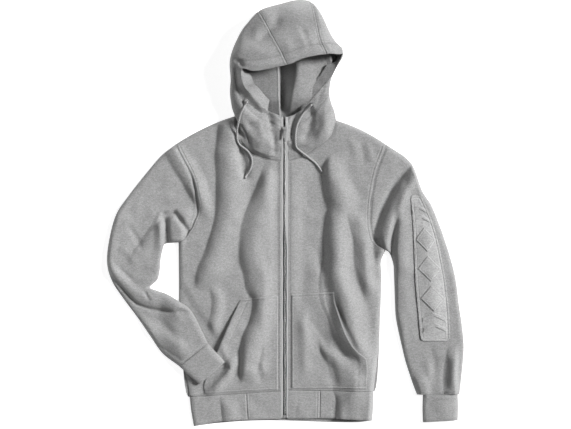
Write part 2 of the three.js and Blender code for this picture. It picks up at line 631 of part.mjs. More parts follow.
// What lies on a panel: the panel's own points moved up, cut to an outline by a tall prism
const PRISM = { low: -50, tall: 200 };
function laidOn(outer, outline, thick) {
  const raise = (up) => outer.map((row) => row.map((p) => p.clone().add(new THREE.Vector3(0, 0, up))));
  const slab = solid(wall(raise(CLEAR + thick), raise(CLEAR)));
  const shape = new THREE.Shape(outline.map(([x, y]) => new THREE.Vector2(x, y)));
  const prism = new THREE.ExtrudeGeometry(shape, { depth: PRISM.tall, bevelEnabled: false });
  return geometryOf(slab.intersect(solid(prism.translate(0, 0, PRISM.low))));
}

function solid(geometry) {
  const bare = geometry.clone();
  bare.deleteAttribute('normal');
  bare.deleteAttribute('uv');
  const merged = mergeVertices(bare, 1e-4);
  return new wasm.Manifold(new wasm.Mesh({
    numProp: 3,
    vertProperties: new Float32Array(merged.attributes.position.array),
    triVerts: new Uint32Array(merged.index.array),
  }));
}

function geometryOf(manifold) {
  const mesh = manifold.getMesh();
  const geometry = new THREE.BufferGeometry();
  geometry.setAttribute('position', new THREE.BufferAttribute(mesh.vertProperties, 3));
  geometry.setIndex(new THREE.BufferAttribute(mesh.triVerts, 1));
  return geometry;
}

// The neck end of each hood station, in order from the zip's left edge, and the stations' places
function hoodNeck() {
  const side = (body) => YOKE_STEPS.map((t) => {
    const { inner } = ends(body.yoke, t);
    return { t, x: inner.x, y: inner.y };
  });
  const frontHeight = ({ x, y }, steps, i) => {
    const point = steps.at(-1);
    const d = Math.hypot(x - point.x, y - point.y);
    return LIE + height(x, y, 'b') * rollUp(i === steps.length - 1 ? 0 : d);
  };
  const left = side(BODY_LEFT);
  const right = side(BODY_RIGHT);
  const back = backNeck();
  const backStations = HOOD.length - 1 - 2 * FRONT_STATIONS;
  return [
    ...left.slice(0, -1).map((p, i) => ({ ...p, station: p.t, z: frontHeight(p, left, i) })),
    ...back.map((p, i) => ({
      ...p, station: FRONT_STATIONS + backStations * i / BACK_NECK_STEPS,
      y: p.y + (i === 0 || i === BACK_NECK_STEPS ? NECK_POINT_GAP : 0),
      z: i === 0 || i === BACK_NECK_STEPS ? CLOTH / 2 : 0,
    })),
    ...right.map((p, i) => ({ ...p, station: HOOD.length - 1 - p.t, z: frontHeight(p, right, i) }))
      .slice(0, -1).toReversed(),
  ];
}

// A point of the hood at a station and at t along it from the neck (0) to the rim (4)
function hoodPoint(neck, t) {
  const coordinate = (k) => {
    const place = (name) => spline(HOOD.map((_, i) => i), HOOD.map((row) => row[name][k]), neck.station);
    return spline([0, 1, 2, 3, 4], [[neck.x, neck.y, neck.z][k], ...POINTS.split(' ').map(place)], t);
  };
  return new THREE.Vector3(coordinate(0), coordinate(1), Math.max(coordinate(2), 0));
}

// Normals of a grid from the differences between neighbours, pointing away from the hood's hollow
function gridNormals(grid) {
  const at = (i, j) => grid[Math.min(Math.max(i, 0), grid.length - 1)][Math.min(Math.max(j, 0), grid[0].length - 1)];
  return grid.map((row, i) => row.map((_, j) => {
    const across = at(i, j + 1).clone().sub(at(i, j - 1));
    const up = at(i + 1, j).clone().sub(at(i - 1, j));
    return up.cross(across).normalize();
  }));
}

function hoodGrids() {
  const necks = hoodNeck();
  const outer = Array.from({ length: HOOD_STEPS + 1 }, (_, i) =>
    necks.map((neck) => hoodPoint(neck, 4 * i / HOOD_STEPS)));
  const normals = gridNormals(outer);
  const inner = outer.map((row, i) => row.map((p, j) => {
    const q = p.clone().addScaledVector(normals[i][j], -CLOTH);
    return q.setZ(Math.max(q.z, CLOTH));
  }));
  trimRow([outer, inner], 0, 1);
  // The neck edge stays clear of the fronts' neckline, measured level and square to it
  necks.forEach((neck, j) => {
    const [a, b] = [necks[Math.max(j - 1, 0)], necks[Math.min(j + 1, necks.length - 1)]];
    if (neck.t === undefined) return;
    const away = new THREE.Vector3(b.y - a.y, a.x - b.x, 0).normalize();
    [outer[0][j], inner[0][j]].forEach((q) => {
      const room = q.clone().sub(new THREE.Vector3(neck.x, neck.y, q.z)).dot(away);
      q.addScaledVector(away, Math.max(2 * SEAM - room, 0));
    });
  });
  return { outer, inner, necks, normals };
}

// One panel of the hood between two stations
function hoodPanel(hood, from, to) {
  const keep = hood.necks.map(({ station }, j) => (station > from - 1e-6 && station < to + 1e-6 ? j : -1))
    .filter((j) => j >= 0);
  const cut = (grid) => grid.map((row) => keep.map((j) => row[j].clone()));
  const [outer, inner] = [cut(hood.outer), cut(hood.inner)];
  if (from > 0) trimColumn([outer, inner], 0, 1, 0, 2 * SEAM);
  if (to < HOOD.length - 1) trimColumn([outer, inner], -1, -2, 0, 2 * SEAM);
  return wall(outer, inner);
}

// A strip along the zip between two x places, with its top and bottom set against the zip's rise
const ZIP_STEPS = 26;
const zipTop = (y) => along(ZIP_RISE, 'y', 'z', y);
function zipStrip(fromX, toX, top, thick, { low, high }) {
  const strip = (offset) => Array.from({ length: ZIP_STEPS + 1 }, (_, i) => {
    const y = mix(low, high, i / ZIP_STEPS);
    return [fromX, toX].map((x) => new THREE.Vector3(x, y, zipTop(y) + offset));
  });
  return wall(strip(top), strip(top - thick));
}

const box = (width, length, tall) => new THREE.BoxGeometry(width, length, tall);

// Slider: a plate on the chain with two lugs that carry the pull tab's pivot
const SLIDER_BASE = zipTop(SLIDER_Y) + CHAIN.top + CLEAR;
function slider() {
  let body = solid(box(SLIDER.width, SLIDER.length, SLIDER.height)
    .translate(ZIP_MID, SLIDER_Y, SLIDER_BASE + SLIDER.height / 2));
  [-1, 1].forEach((side) => {
    const x = ZIP_MID + side * (PULL.neck + LUG.width) / 2;
    const lug = box(LUG.width, LUG.length, LUG.height + LUG.sunk)
      .translate(x, SLIDER_Y, SLIDER_BASE + SLIDER.height + (LUG.height - LUG.sunk) / 2);
    body = body.add(solid(lug));
  });
  return geometryOf(body);
}
const PIVOT = new THREE.Vector3(ZIP_MID, SLIDER_Y, SLIDER_BASE + SLIDER.height + PULL.knuckle + 2 * CLEAR);

// Pull tab: a knuckle between the lugs and a tab with rounded end that lies towards the hem
function pullTab() {
  const neck = PULL.neck - 2 * CLEAR;
  const half = PULL.width / 2;
  const reach = PULL.shoulder + half;
  const knuckle = new THREE.CylinderGeometry(PULL.knuckle, PULL.knuckle, neck, 16).rotateZ(Math.PI / 2);
  const arm = box(neck, reach, PULL.thick).translate(0, -reach / 2, 0);
  const shape = new THREE.Shape();
  shape.moveTo(-half, -PULL.shoulder);
  shape.lineTo(-half, half - PULL.length);
  shape.absarc(0, half - PULL.length, half, Math.PI, 2 * Math.PI, false);
  shape.lineTo(half, -PULL.shoulder);
  const tab = new THREE.ExtrudeGeometry(shape, { depth: PULL.thick, bevelEnabled: false, curveSegments: 10 })
    .translate(0, 0, -PULL.thick / 2);
  return geometryOf(solid(knuckle).add(solid(arm)).add(solid(tab)));
}

// A flat ring: a profile with a hole, turned about Z
function ring({ outer, hole, height: tall }) {
  const profile = [[hole, 0], [outer, 0], [outer, tall / 2], [outer - 1, tall], [hole + 0.6, tall], [hole, 0]];
  return new THREE.LatheGeometry(profile.map(([x, y]) => new THREE.Vector2(x, y)), 20).rotateX(Math.PI / 2);
}

// Centre and outward normal of an eyelet on the hood. So near the rim the neck end has no say in the curve.
function seat([station, t]) {
  const at = (s, u) => hoodPoint({ station: s, x: 0, y: 0, z: 0 }, u);
  const step = 0.05;
  const across = at(station + step, t).sub(at(station - step, t));
  const up = at(station, t + step).sub(at(station, t - step));
  return { centre: at(station, t), normal: up.cross(across).normalize() };
}
const EYELET_LIFT = 0.7;
function eyelet({ centre, normal }) {
  const turn = new THREE.Quaternion().setFromUnitVectors(new THREE.Vector3(0, 0, 1), normal);
  const place = centre.clone().addScaledVector(normal, EYELET_LIFT);
  return ring(EYELET).applyQuaternion(turn).translate(place.x, place.y, place.z);
}

// Height at which a cord's middle lies on the meshes below a place
const HIGH = 300;
function restHeight(x, y, below) {
  const around = Array.from({ length: 8 }, (_, k) => [Math.cos(k * Math.PI / 4), Math.sin(k * Math.PI / 4)]);
  const tops = [[0, 0], ...around].map(([dx, dy]) => {
    const from = new THREE.Vector3(x + dx * CORD_RADIUS, y + dy * CORD_RADIUS, HIGH);
    const hit = new THREE.Raycaster(from, new THREE.Vector3(0, 0, -1)).intersectObjects(below)[0];
    return hit ? hit.point.z : 0;
  });
  return Math.max(...tops) + CORD_RADIUS + CLEAR;
}

// A cord stands up out of its eyelet and then lies along its route. It bridges steep places.
function cord({ centre, normal }, route, below) {
  const flat = new THREE.CatmullRomCurve3(route.map(([x, y]) => new THREE.Vector3(x, y, 0)));
  const lying = flat.getSpacedPoints(CORD_PLACES).map(({ x, y }) => new THREE.Vector3(x, y, restHeight(x, y, below)));
  for (let i = 1; i < lying.length; i += 1) lying[i].z = Math.max(lying[i].z, lying[i - 1].z - CORD_DROP);
  for (let i = lying.length - 2; i >= 0; i -= 1) lying[i].z = Math.max(lying[i].z, lying[i + 1].z - CORD_DROP);
  const risen = CORD_RISE.map((up) => centre.clone().addScaledVector(normal, up));
  const path = new THREE.CatmullRomCurve3([...risen, ...lying]);
  const circle = new THREE.Shape(Array.from({ length: 8 }, (_, k) =>
    new THREE.Vector2(CORD_RADIUS * Math.cos(k * Math.PI / 4), CORD_RADIUS * Math.sin(k * Math.PI / 4))));
  return new THREE.ExtrudeGeometry(circle, { extrudePath: path, steps: CORD_STEPS, bevelEnabled: false });
}

const hoodie = new THREE.Group();
function piece(name, geometry, look) {
  const mesh = new THREE.Mesh(geometry, new THREE.MeshStandardMaterial(look));
  mesh.name = name;
  hoodie.add(mesh);
  return mesh;
}

const floorLevel = () => 0;
const hood = hoodGrids();
const lastStation = HOOD.length - 1;
const [chainLeft, chainRight] = [ZIP_MID - CHAIN.width / 2, ZIP_MID + CHAIN.width / 2];
const [seatLeft, seatRight] = [seat(EYELET_AT.left), seat(EYELET_AT.right)];

piece('back_panel', backPanel(), FLEECE);
const frontLeft = piece('front_left', frontPiece(BODY_LEFT), FLEECE);
const frontRight = piece('front_right', frontPiece(BODY_RIGHT), FLEECE);
piece('sleeve_left', sleevePiece(SLEEVE_LEFT, BODY_LEFT, 'l', climb), FLEECE);
piece('sleeve_right', sleevePiece(SLEEVE_RIGHT, BODY_RIGHT, 'r', floorLevel), FLEECE);
piece('cuff_left', cuffPiece(CUFF_LEFT, 'c', climb, 0.9), RIBBING);
piece('cuff_right', cuffPiece(CUFF_RIGHT, 'c', floorLevel, 1), RIBBING);
piece('hem_band', hemBand(), RIBBING);
piece('hem_end_left', hemEnd(HEM_JOIN_LEFT + SEAM, zipLeft), RIBBING);
piece('hem_end_right', hemEnd(zipRight, HEM_JOIN_RIGHT - SEAM), RIBBING);
piece('pocket_left', laidOn(frontGrids(BODY_LEFT).outer, POCKET_LEFT, POCKET_WALL), FLEECE);
piece('pocket_right', laidOn(frontGrids(BODY_RIGHT).outer, POCKET_RIGHT, POCKET_WALL), FLEECE);
piece('sleeve_patch', laidOn(sleeveTop(SLEEVE_RIGHT, BODY_RIGHT, 'r', floorLevel), PATCH, PATCH_WALL), FLEECE);
const hoodLeft = piece('hood_side_left', hoodPanel(hood, 0, HOOD_SEAMS[0]), FLEECE);
piece('hood_centre', hoodPanel(hood, HOOD_SEAMS[0], HOOD_SEAMS[1]), FLEECE);
const hoodRight = piece('hood_side_right', hoodPanel(hood, HOOD_SEAMS[1], lastStation), FLEECE);
piece('zip_tape_left', zipStrip(zipLeft + CLEAR, chainLeft - CLEAR, -TAPE.drop, TAPE.thick, TAPE), TAPE_CLOTH);
piece('zip_tape_right', zipStrip(chainRight + CLEAR, zipRight - CLEAR, -TAPE.drop, TAPE.thick, TAPE), TAPE_CLOTH);
piece('zip_chain', zipStrip(chainLeft, chainRight, CHAIN.top, CHAIN.thick, CHAIN), METAL);
piece('zip_slider', slider(), METAL);
const pull = piece('zip_pull', pullTab(), METAL);
pull.position.copy(PIVOT);
piece('zip_stop', box(STOP.width, STOP.length, STOP.height)
  .translate(ZIP_MID, CHAIN.low - CLEAR - STOP.length / 2, zipTop(CHAIN.low) - CHAIN.top), METAL);
const eyeletLeft = piece('eyelet_left', eyelet(seatLeft), METAL);
const eyeletRight = piece('eyelet_right', eyelet(seatRight), METAL);
piece('drawcord_left', cord(seatLeft, ROUTE_LEFT, [hoodLeft, frontLeft, eyeletLeft]), CORD);
piece('drawcord_right', cord(seatRight, ROUTE_RIGHT, [hoodRight, frontRight, eyeletRight]), CORD);

// The origin lies on the floor under the middle of the garment, its free cords left out
const extent = new THREE.Box3();
hoodie.children.filter(({ name }) => !name.startsWith('drawcord'))
  .forEach((mesh) => extent.expandByObject(mesh));
const middle = extent.getCenter(new THREE.Vector3());
hoodie.position.set(-middle.x, -middle.y, -extent.min.z);

export default hoodie;
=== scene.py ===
"""A grey heather zip up hoodie laid flat: cloth, rib, zip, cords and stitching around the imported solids."""
import json
import math

import bpy
import numpy as np
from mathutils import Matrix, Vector
from mathutils.bvhtree import BVHTree

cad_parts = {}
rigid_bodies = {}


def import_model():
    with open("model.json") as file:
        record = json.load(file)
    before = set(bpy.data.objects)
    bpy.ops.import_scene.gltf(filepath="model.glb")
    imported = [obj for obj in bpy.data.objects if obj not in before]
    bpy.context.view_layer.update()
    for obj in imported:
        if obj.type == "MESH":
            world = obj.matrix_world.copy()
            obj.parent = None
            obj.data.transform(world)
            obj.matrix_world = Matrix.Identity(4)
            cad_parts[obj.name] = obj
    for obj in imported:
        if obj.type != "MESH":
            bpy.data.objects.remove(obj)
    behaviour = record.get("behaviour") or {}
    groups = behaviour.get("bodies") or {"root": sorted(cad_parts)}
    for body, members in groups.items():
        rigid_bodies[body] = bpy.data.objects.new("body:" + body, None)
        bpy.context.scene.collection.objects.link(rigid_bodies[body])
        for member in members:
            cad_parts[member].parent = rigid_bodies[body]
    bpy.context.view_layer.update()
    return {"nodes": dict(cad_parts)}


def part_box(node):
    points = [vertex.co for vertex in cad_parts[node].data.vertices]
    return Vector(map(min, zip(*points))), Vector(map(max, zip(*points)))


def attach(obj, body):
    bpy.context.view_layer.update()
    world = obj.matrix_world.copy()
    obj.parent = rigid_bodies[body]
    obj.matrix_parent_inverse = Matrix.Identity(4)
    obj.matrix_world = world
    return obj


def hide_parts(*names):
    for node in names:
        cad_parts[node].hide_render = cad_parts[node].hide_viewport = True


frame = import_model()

GARMENT = "garment"

# Sizes are in millimetres on the table of the part's source, and SHIFT takes them to the frame.
# Thickness of cloth and of rib, half a seam's gap, and the space between two layers
CLOTH, RIB, SEAM, CLEAR = 2.4, 3.0, 0.03, 0.3
# How high the fronts lie, how far cloth puffs above its own edge, and the radius of a rolled edge
LIE, PUFF, ROLL = CLOTH + CLEAR, 9.0, 13.0
# Least space in a tube, least puff, steepest slant, and the share of a wall that a seam may sink into
LEAST_HOLLOW, LOWEST, STEEPEST, DEEPEST = 0.8, 2.5, 1.6, 0.7
ZIP_MID, ZIP_HALF = 0.5, 8.5
ZIP_LEFT, ZIP_RIGHT = ZIP_MID - ZIP_HALF, ZIP_MID + ZIP_HALF
CHAIN_LOW, CHAIN_HIGH, CHAIN_EDGE = -473.0, 205.0, -2.5
TAPE_LOW, TAPE_HIGH = -480.0, 226.0
# How high the front is under the bent sleeve, and the sleeve's own ramp from the floor onto it
PRESSED, PRESS_FADE = 5.0, 20.0
REST, CLIMB, CLIMB_TOP, CLIMB_FADE = 11.2, 48.0, -125.0, 50.0
SHOULDER_ARCH = 6.0
# How folds and creases fade along their length, and how far from the zip the front is levelled
FOLD_FADE, CREASE_FADE, HOOD_CREASE_FADE, ZIP_FLAT = 40.0, 0.3, 0.25, 45.0
# Shortest and longest wave of the ripple, their number, and the wave that is one unit high
RIPPLE_WAVES, RIPPLE_UNIT = (24, 90, 16), 60
chain_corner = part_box("zip_chain")[0]
SHIFT = np.array([chain_corner.x * 1000 - CHAIN_EDGE, chain_corner.y * 1000 - CHAIN_LOW, 0.0])


def table(names, *rows):
    """Named columns of a table that is written row by row"""
    return dict(zip(names.split(), np.array(rows, float).T))


ROW = "inX inY outX outY"
BODY_LEFT = [
    table(ROW, (-8, -417, -223, -431), (-8, -330, -238, -335), (-8, -235, -247, -240),
          (-8, -135, -248, -150), (-8, -40, -249, -68)),
    table(ROW, (-8, -40, -249, -68), (-8, 3, -233, -57), (-8, 45, -214, -25), (-8, 86, -203, 12),
          (-8, 123, -208, 50)),
    table(ROW, (-8, 123, -208, 50), (-40, 128, -216, 82), (-76, 141, -230, 112), (-106, 167, -244, 138),
          (-119, 228, -256, 162))]
BODY_RIGHT = [
    table(ROW, (9, -415, 209, -418), (9, -325, 219, -335), (9, -235, 225, -240), (9, -135, 228, -150),
          (9, -95, 226.5, -114), (9, -55, 237, -86)),
    table(ROW, (9, -55, 237, -86), (9, -15, 214, -71), (9, 30, 204, -44), (9, 75, 201, -4),
          (9, 123, 204, 38)),
    table(ROW, (9, 123, 204, 38), (46, 135, 210, 72), (78, 157, 218, 104), (108, 184, 229, 134),
          (123, 218, 240, 161))]
YOKE_STEPS = [0, 0.6, 1.2, 1.8, 2.4, 3, 3.5, 3.85, 4]
BACK_NECK = table("x y", (-119, 228), (-95, 219), (-60, 212), (-25, 209), (0, 208), (25, 208), (60, 209),
                  (92, 212), (110, 215), (123, 218))
TUBE = "outX outY inX inY"
SLEEVE_LEFT = table(TUBE, (-256, 162, -249, -68), (-290, 135, -265, -69), (-330, 88, -281, -72),
                    (-366, 42, -287, -88), (-395, -1, -291, -109), (-411, -57, -293, -133),
                    (-417, -114, -299, -156), (-405, -159, -316, -173), (-376, -203, -300, -181),
                    (-344, -246, -274, -190), (-314, -290, -246, -207), (-286, -329, -217, -231),
                    (-247, -358, -180, -304))
SLEEVE_RIGHT = table(TUBE, (240, 161, 237, -86), (263, 146, 244, -90), (285, 131, 248, -96),
                     (304, 107, 252, -106), (323, 54, 256, -122), (344, 21, 257, -142),
                     (362, -22, 258, -168), (378, -67, 259, -200), (393, -116, 261, -240),
                     (403, -160, 267, -274), (410, -216, 276, -314), (417, -264, 284, -347),
                     (421, -309, 293, -375), (419, -350, 302, -402), (411, -424, 311, -425))
BULGE_ROWS = 4.5
CUFF_LEFT = table(TUBE, (-247, -358, -180, -304), (-222, -381, -159, -327), (-199, -401, -140, -348))
CUFF_RIGHT = table(TUBE, (407, -424, 325, -425), (408, -457, 324, -459), (407, -485, 325, -490))
HEM_SEAM = table("x y", (-223, -431), (-8, -417), (9, -415), (209, -418))
HEM_SIDES = table("left right", (-223, 209), (-219, 208.5), (-213, 206))
HEM_FRONT = table("x y", (-213, -499), (-148, -488), (-74, -484), (0, -482), (110, -481), (206, -486))
HEM_BACK = table("x y", (-213, -499), (-148, -491), (-74, -486), (0, -486), (107, -489.5), (173, -489.5),
                 (206, -486))
HEM_JOIN_LEFT, HEM_JOIN_RIGHT = -90.0, 83.0


def fold(on, lift, tail, *rows, axis="y"):
    """A fold of cloth: rows of (place along it, foot, crest). b body, l and r the sleeves."""
    return {"on": on, "lift": lift, "tail": tail, "axis": axis, "rows": np.array(rows, float).T}


FOLDS = [
    fold("b", 14, 55, (-182, -213, -203), (-133, -206, -175), (-93, -189, -161), (-43, -173, -144),
         (4, -163, -133), (76, -161, -130), (147, -163, -130), (208, -154, -128), (250, -150, -125)),
    fold("b", 16, 50, (-403, -106, -96), (-370, -105, -91), (-323, -105, -83), (-276, -95, -65),
         (-253, -83, -55), (-203, -74, -48), (-180, -90, -48), (-144, -97, -55), (-116, -105, -69),
         (-69, -107, -69), (-20, -100, -62), (27, -83, -50), (76, -60, -36), (114, -53, -34)),
    fold("b", 6, 20, (-300, -190, -178), (-255, -178, -163), (-206, -171, -156), (-160, -182, -168)),
    fold("b", 5, 25, (-395, -70, -60), (-384, -67, -55), (-323, -53, -41), (-300, -50, -40)),
    fold("b", 15, 45, (-350, 152, 170), (-335, 145, 166), (-311, 130, 166), (-285, 112, 162),
         (-250, 102, 156), (-203, 83, 147), (-156, 81, 121), (-116, 88, 119), (-69, 90, 119),
         (-20, 95, 121), (15, 100, 133), (43, 93, 133), (100, 90, 107), (142, 104, 112)),
    fold("b", 9, 28, (-215, 186, 204), (-175, 180, 201), (-156, 173, 194), (-116, 163, 189),
         (-69, 161, 187), (-15, 149, 173), (15, 145, 165)),
    fold("b", 12, 50, (-540, 121, 135), (-473, 121, 137), (-438, 121, 147), (-415, 114, 163),
         (-391, 109, 159), (-356, 100, 133), (-318, 83, 100), (-290, 78, 92)),
    fold("b", 6, 30, (-540, -143, -126), (-485, -146, -128), (-450, -150, -133), (-420, -153, -140)),
    fold("bl", 9, 40, (10, -212, -204), (22, -213, -203), (50, -227, -209), (76, -243, -217),
         (100, -260, -231), (126, -274, -246), (147, -283, -260), (190, -290, -268)),
    fold("bl", 6, 25, (-20, -205, -190), (4, -203, -189), (43, -208, -196), (81, -215, -205),
         (105, -220, -212)),
    fold("bl", 7, 20, (-95, -278, -252), (-69, -277, -248), (-30, -272, -240), (0, -264, -232),
         (25, -260, -236)),
    fold("l", 8, 45, (-125, -375, -352), (-83, -352, -328), (-45, -325, -303), (-6, -300, -281),
         (20, -290, -272)),
    fold("l", 8, 20, (-105, -282, -292), (-69, -279, -290), (-34, -276, -289), (2, -272, -286)),
    fold("br", 15, 22, (-130, 214, 243), (-67, 208, 241), (-20, 220, 250), (15, 234, 264), (65, 260, 288),
         (107, 293, 316), (140, 310, 325)),
    fold("r", 9, 40, (-160, 256, 274), (-116, 253, 271), (-67, 251, 270), (-18, 264, 282), (15, 272, 287)),
    fold("r", 9, 15, (-480, 374, 398), (-424, 374, 398), (-382, 371, 396), (-335, 379, 398),
         (-300, 384, 400)),
    fold("r", 7, 20, (-480, 314, 332), (-429, 311, 330), (-394, 304, 323), (-360, 300, 314)),
    fold("l", 9, 25, (-430, -125, -113), (-410, -142, -126), (-386, -170, -150), (-347, -211, -188),
         (-314, -223, -200), (-266, -230, -212), (-234, -228, -214), (-205, -250, -238), axis="x"),
    fold("l", 6, 30, (-350, -262, -238), (-314, -297, -274), (-234, -349, -321), (-200, -370, -345),
         axis="x"),
]
ZIP_RISE = table("y z", (-482, 9.5), (-425, 12.5), (60, 12.5), (100, 13.5), (123, 16), (150, 21), (178, 26),
                 (205, 28), (226, 27))
PRESS = np.array([(-300, -170), (-205, -190), (-166, -300), (-134, -349), (-194, -409), (-300, -430)], float)

# The hood: at each station from the zip over the crown and back to the zip, four points up to the rim
HOOD = np.array([
    [(-8, 150, 21), (-8, 178, 26), (-8, 205, 28), (-8, 226, 27)],
    [(-39, 150, 27), (-38, 182, 32), (-37, 212, 33), (-37, 237, 30)],
    [(-77, 160, 29), (-76, 192, 37), (-68, 225, 41), (-58, 250, 38)],
    [(-98, 183, 25), (-106, 213, 38), (-96, 248, 52), (-79, 275, 50)],
    [(-114, 244, 7), (-127, 266, 24), (-117, 290, 56), (-94, 301, 62)],
    [(-112, 300, 0), (-127, 350, 30), (-117, 346, 70), (-96, 337, 78)],
    [(-80, 350, 0), (-103, 420, 32), (-90, 385, 84), (-69, 331, 88)],
    [(-40, 400, 0), (-62, 471, 30), (-18, 394, 94), (6, 345, 86)],
    [(-5, 420, 0), (-1, 491, 28), (36, 408, 90), (48, 361, 82)],
    [(40, 420, 0), (61, 495, 26), (81, 412, 74), (97, 370, 70)],
    [(88, 370, 0), (104, 427, 24), (118, 396, 52), (121, 371, 63)],
    [(104, 320, 0), (122, 372, 16), (134, 380, 38), (138, 371, 55)],
    [(95, 290, 0), (102, 318, 15), (113, 328, 36), (120, 336, 52)],
    [(112, 238, 6), (104, 264, 22), (102, 286, 38), (94, 300, 47)],
    [(106, 200, 20), (100, 232, 30), (88, 258, 38), (73, 277, 42)],
    [(78, 175, 24), (75, 205, 31), (68, 232, 37), (57, 258, 37)],
    [(47, 155, 24), (46, 185, 29), (43, 212, 31), (28, 233, 31)],
    [(9, 150, 21), (9, 178, 26), (9, 205, 28), (9, 226, 27)]], float)
HOOD_SEAMS = (7.0, 9.0)
FRONT_STATIONS = 4.0
LAST_STATION = len(HOOD) - 1.0
# The back neck lies this far off its points, over this part of its length
NECK_POINT_GAP, NECK_BLEND = 0.8, 1 / 18
# The hood's hem: width, lean over the opening and drop for each millimetre, and extra thickness
HEM_WIDE, FLARE, FLARE_DROP, HEM_EXTRA = 25.0, 0.95, 0.35, 1.0
HOOD_OPENING = np.array([8, 292])

POCKET_WALL, PATCH_WALL, SHAPE_LIFT, SHAPE_WALL = 2.2, 2.3, 1.5, 1.3
# A pocket: how high and deep its opening gapes, the share of it that does, how unevenly, and its two edges
POCKET_LEFT = {
    "gape": 8.0, "reach": 22.0, "ends": 0.86, "even": 1.5,
    "zip": np.array([(-15, -192), (-15, -414)], float),
    "open": np.array([(-104, -202), (-131, -262), (-157, -322), (-175, -365), (-189, -401),
                      (-186, -424)], float)}
POCKET_RIGHT = {
    "gape": 13.0, "reach": 32.0, "ends": 0.86, "even": 0.8,
    "zip": np.array([(16, -190), (16, -412)], float),
    "open": np.array([(116, -184), (119, -210), (127, -234), (137, -264), (146, -286), (159, -309),
                      (173, -325), (192, -343), (192, -412)], float)}
PATCH_SIDES = table("y left right", (-299, 319.5, 388), (-290, 319, 388), (-235, 314, 386),
                    (-156, 307, 377.5), (-116, 305.4, 370), (-67, 303.5, 360), (-25, 301.3, 348),
                    (15, 298, 332), (42, 296, 320))
PATCH_CORNER = 9.0
SLIDER_Y = 196.0
CORD_RADIUS = 2.3
EYELET_AT = {"left": (3.0, 3.45), "right": (14.85, 3.7)}
ROUTE_LEFT = [(-91.5, 253.5), (-95, 246), (-102, 233), (-107, 214), (-110, 199), (-111, 182), (-108, 166),
              (-100, 157), (-90, 150), (-81, 139), (-76, 126), (-77, 112), (-83, 98), (-90, 88), (-92, 82)]
ROUTE_RIGHT = [(58, 248.5), (53, 244), (47, 237), (40, 228), (33, 215), (28, 200), (26, 184), (26, 168),
               (28, 155), (36, 147), (48, 138), (61, 128), (74, 117), (88, 98)]
# How far cloth sinks at a seam, an edge or a row of stitches: depth, reach, and distance from the edge
SINKS = {
    "armhole": [(2.2, 2.6, 0), (0.9, 1.2, 7.5)],
    "left zip edge": [(0.8, 1.0, 0), (1.0, 1.3, 6.6)],
    "right zip edge": [(0.8, 1.0, 0), (1.0, 1.3, 3.4)],
    "waist": [(1.2, 1.6, 0), (-1.0, 2.0, 4.0), (0.7, 1.2, 8.0)],
    "sleeve head": [(2.4, 3.5, 0)],
    "sleeve end": [(2.6, 4.0, 0)],
    "cuff seam": [(1.6, 3.0, 0)],
    "cuff edge": [(1.6, 2.2, 0)],
    "hem seam": [(1.2, 1.8, 0)],
    "hem edge": [(1.7, 2.4, 0)],
    "hem join": [(1.6, 1.8, 0)],
    "hem end seam": [(0.7, 1.2, 6.0)],
    "hem end join": [(0.8, 1.2, 6.0)],
    "pocket edge": [(2.0, 2.0, 0), (0.7, 1.1, 6.0)],
    "pocket opening": [(0.6, 1.2, 0), (0.9, 1.3, 20.0)],
    "patch edge": [(0.8, 1.3, 5.0)],
    "shape edge": [(0.6, 0.9, 0), (0.5, 1.0, 4.0)],
    "hood neck": [(1.0, 2.0, 0), (0.7, 1.2, 6.0)],
    "hood hem": [(1.2, 1.5, HEM_WIDE)],
    "hood seam": [(1.6, 1.1, 0), (0.7, 1.2, 6.0)]}


def smooth(value):
    """Rises from 0 to 1 as 3 s squared less 2 s cubed"""
    s = np.clip(value, 0, 1)
    return s * s * (3 - 2 * s)


def mix(a, b, t):
    return a + (b - a) * t


def pair(a, b):
    """Two parameters as arrays of numbers with one shape"""
    return np.broadcast_arrays(np.asarray(a, float), np.asarray(b, float))


def hermite(s, span, start, end, slope_start, slope_end):
    """Cubic from start to end at share s of a span, with the two slopes"""
    r = 1 - s
    return ((1 + 2 * s) * r * r * start + s * r * r * span * slope_start
            + s * s * (3 - 2 * s) * end - s * s * r * span * slope_end)


def spline(knots, values, at):
    """Cubic curve through values at rising knots, with the chord between a knot's neighbours as its slope"""
    knots, values = np.asarray(knots, float), np.asarray(values, float)
    at = np.clip(np.asarray(at, float), knots[0], knots[-1])
    place = np.arange(len(knots))
    before, after = np.maximum(place - 1, 0), np.minimum(place + 1, len(knots) - 1)
    tail = (1,) * (values.ndim - 1)
    slope = (values[after] - values[before]) / (knots[after] - knots[before]).reshape((-1,) + tail)
    i = np.clip(np.searchsorted(knots, at, side="left") - 1, 0, len(knots) - 2)
    span = (knots[i + 1] - knots[i]).reshape(at.shape + tail)
    s = (at - knots[i]).reshape(at.shape + tail) / span
    return hermite(s, span, values[i], values[i + 1], slope[i], slope[i + 1])


def between(rows, names, t):
    """Columns of a table at row number t, stacked on the last axis"""
    names = names.split()
    place = np.arange(len(rows[names[0]]))
    return np.stack([spline(place, rows[name], t) for name in names], -1)


def spaced(knots, counts):
    """Places from the first knot to the last, with a number of even ones over each span"""
    spans = [np.linspace(*span) for span in zip(knots[:-1], knots[1:], counts)]
    return np.concatenate([spans[0]] + [span[1:] for span in spans[1:]])


def eased(count, tight):
    """Places from 0 to 1 with more of them in a narrow band at each end"""
    few = max(int(count * 0.12), 4)
    ends = np.linspace(0, tight, few, endpoint=False)
    return np.concatenate([ends, np.linspace(tight, 1 - tight, count - 2 * few), 1 - ends[::-1]])


def length_of(steps):
    return np.linalg.norm(steps, axis=-1)


def unit(ways):
    """Directions of length 1"""
    return ways / np.maximum(length_of(ways), 1e-9)[..., None]


def run_along(points):
    """Distance along a line to each of its points"""
    return np.concatenate([[0], np.cumsum(length_of(np.diff(points, axis=0)))])


def lay(plan, z):
    """Points of a plan at their heights"""
    return np.concatenate([plan, z[..., None]], -1)


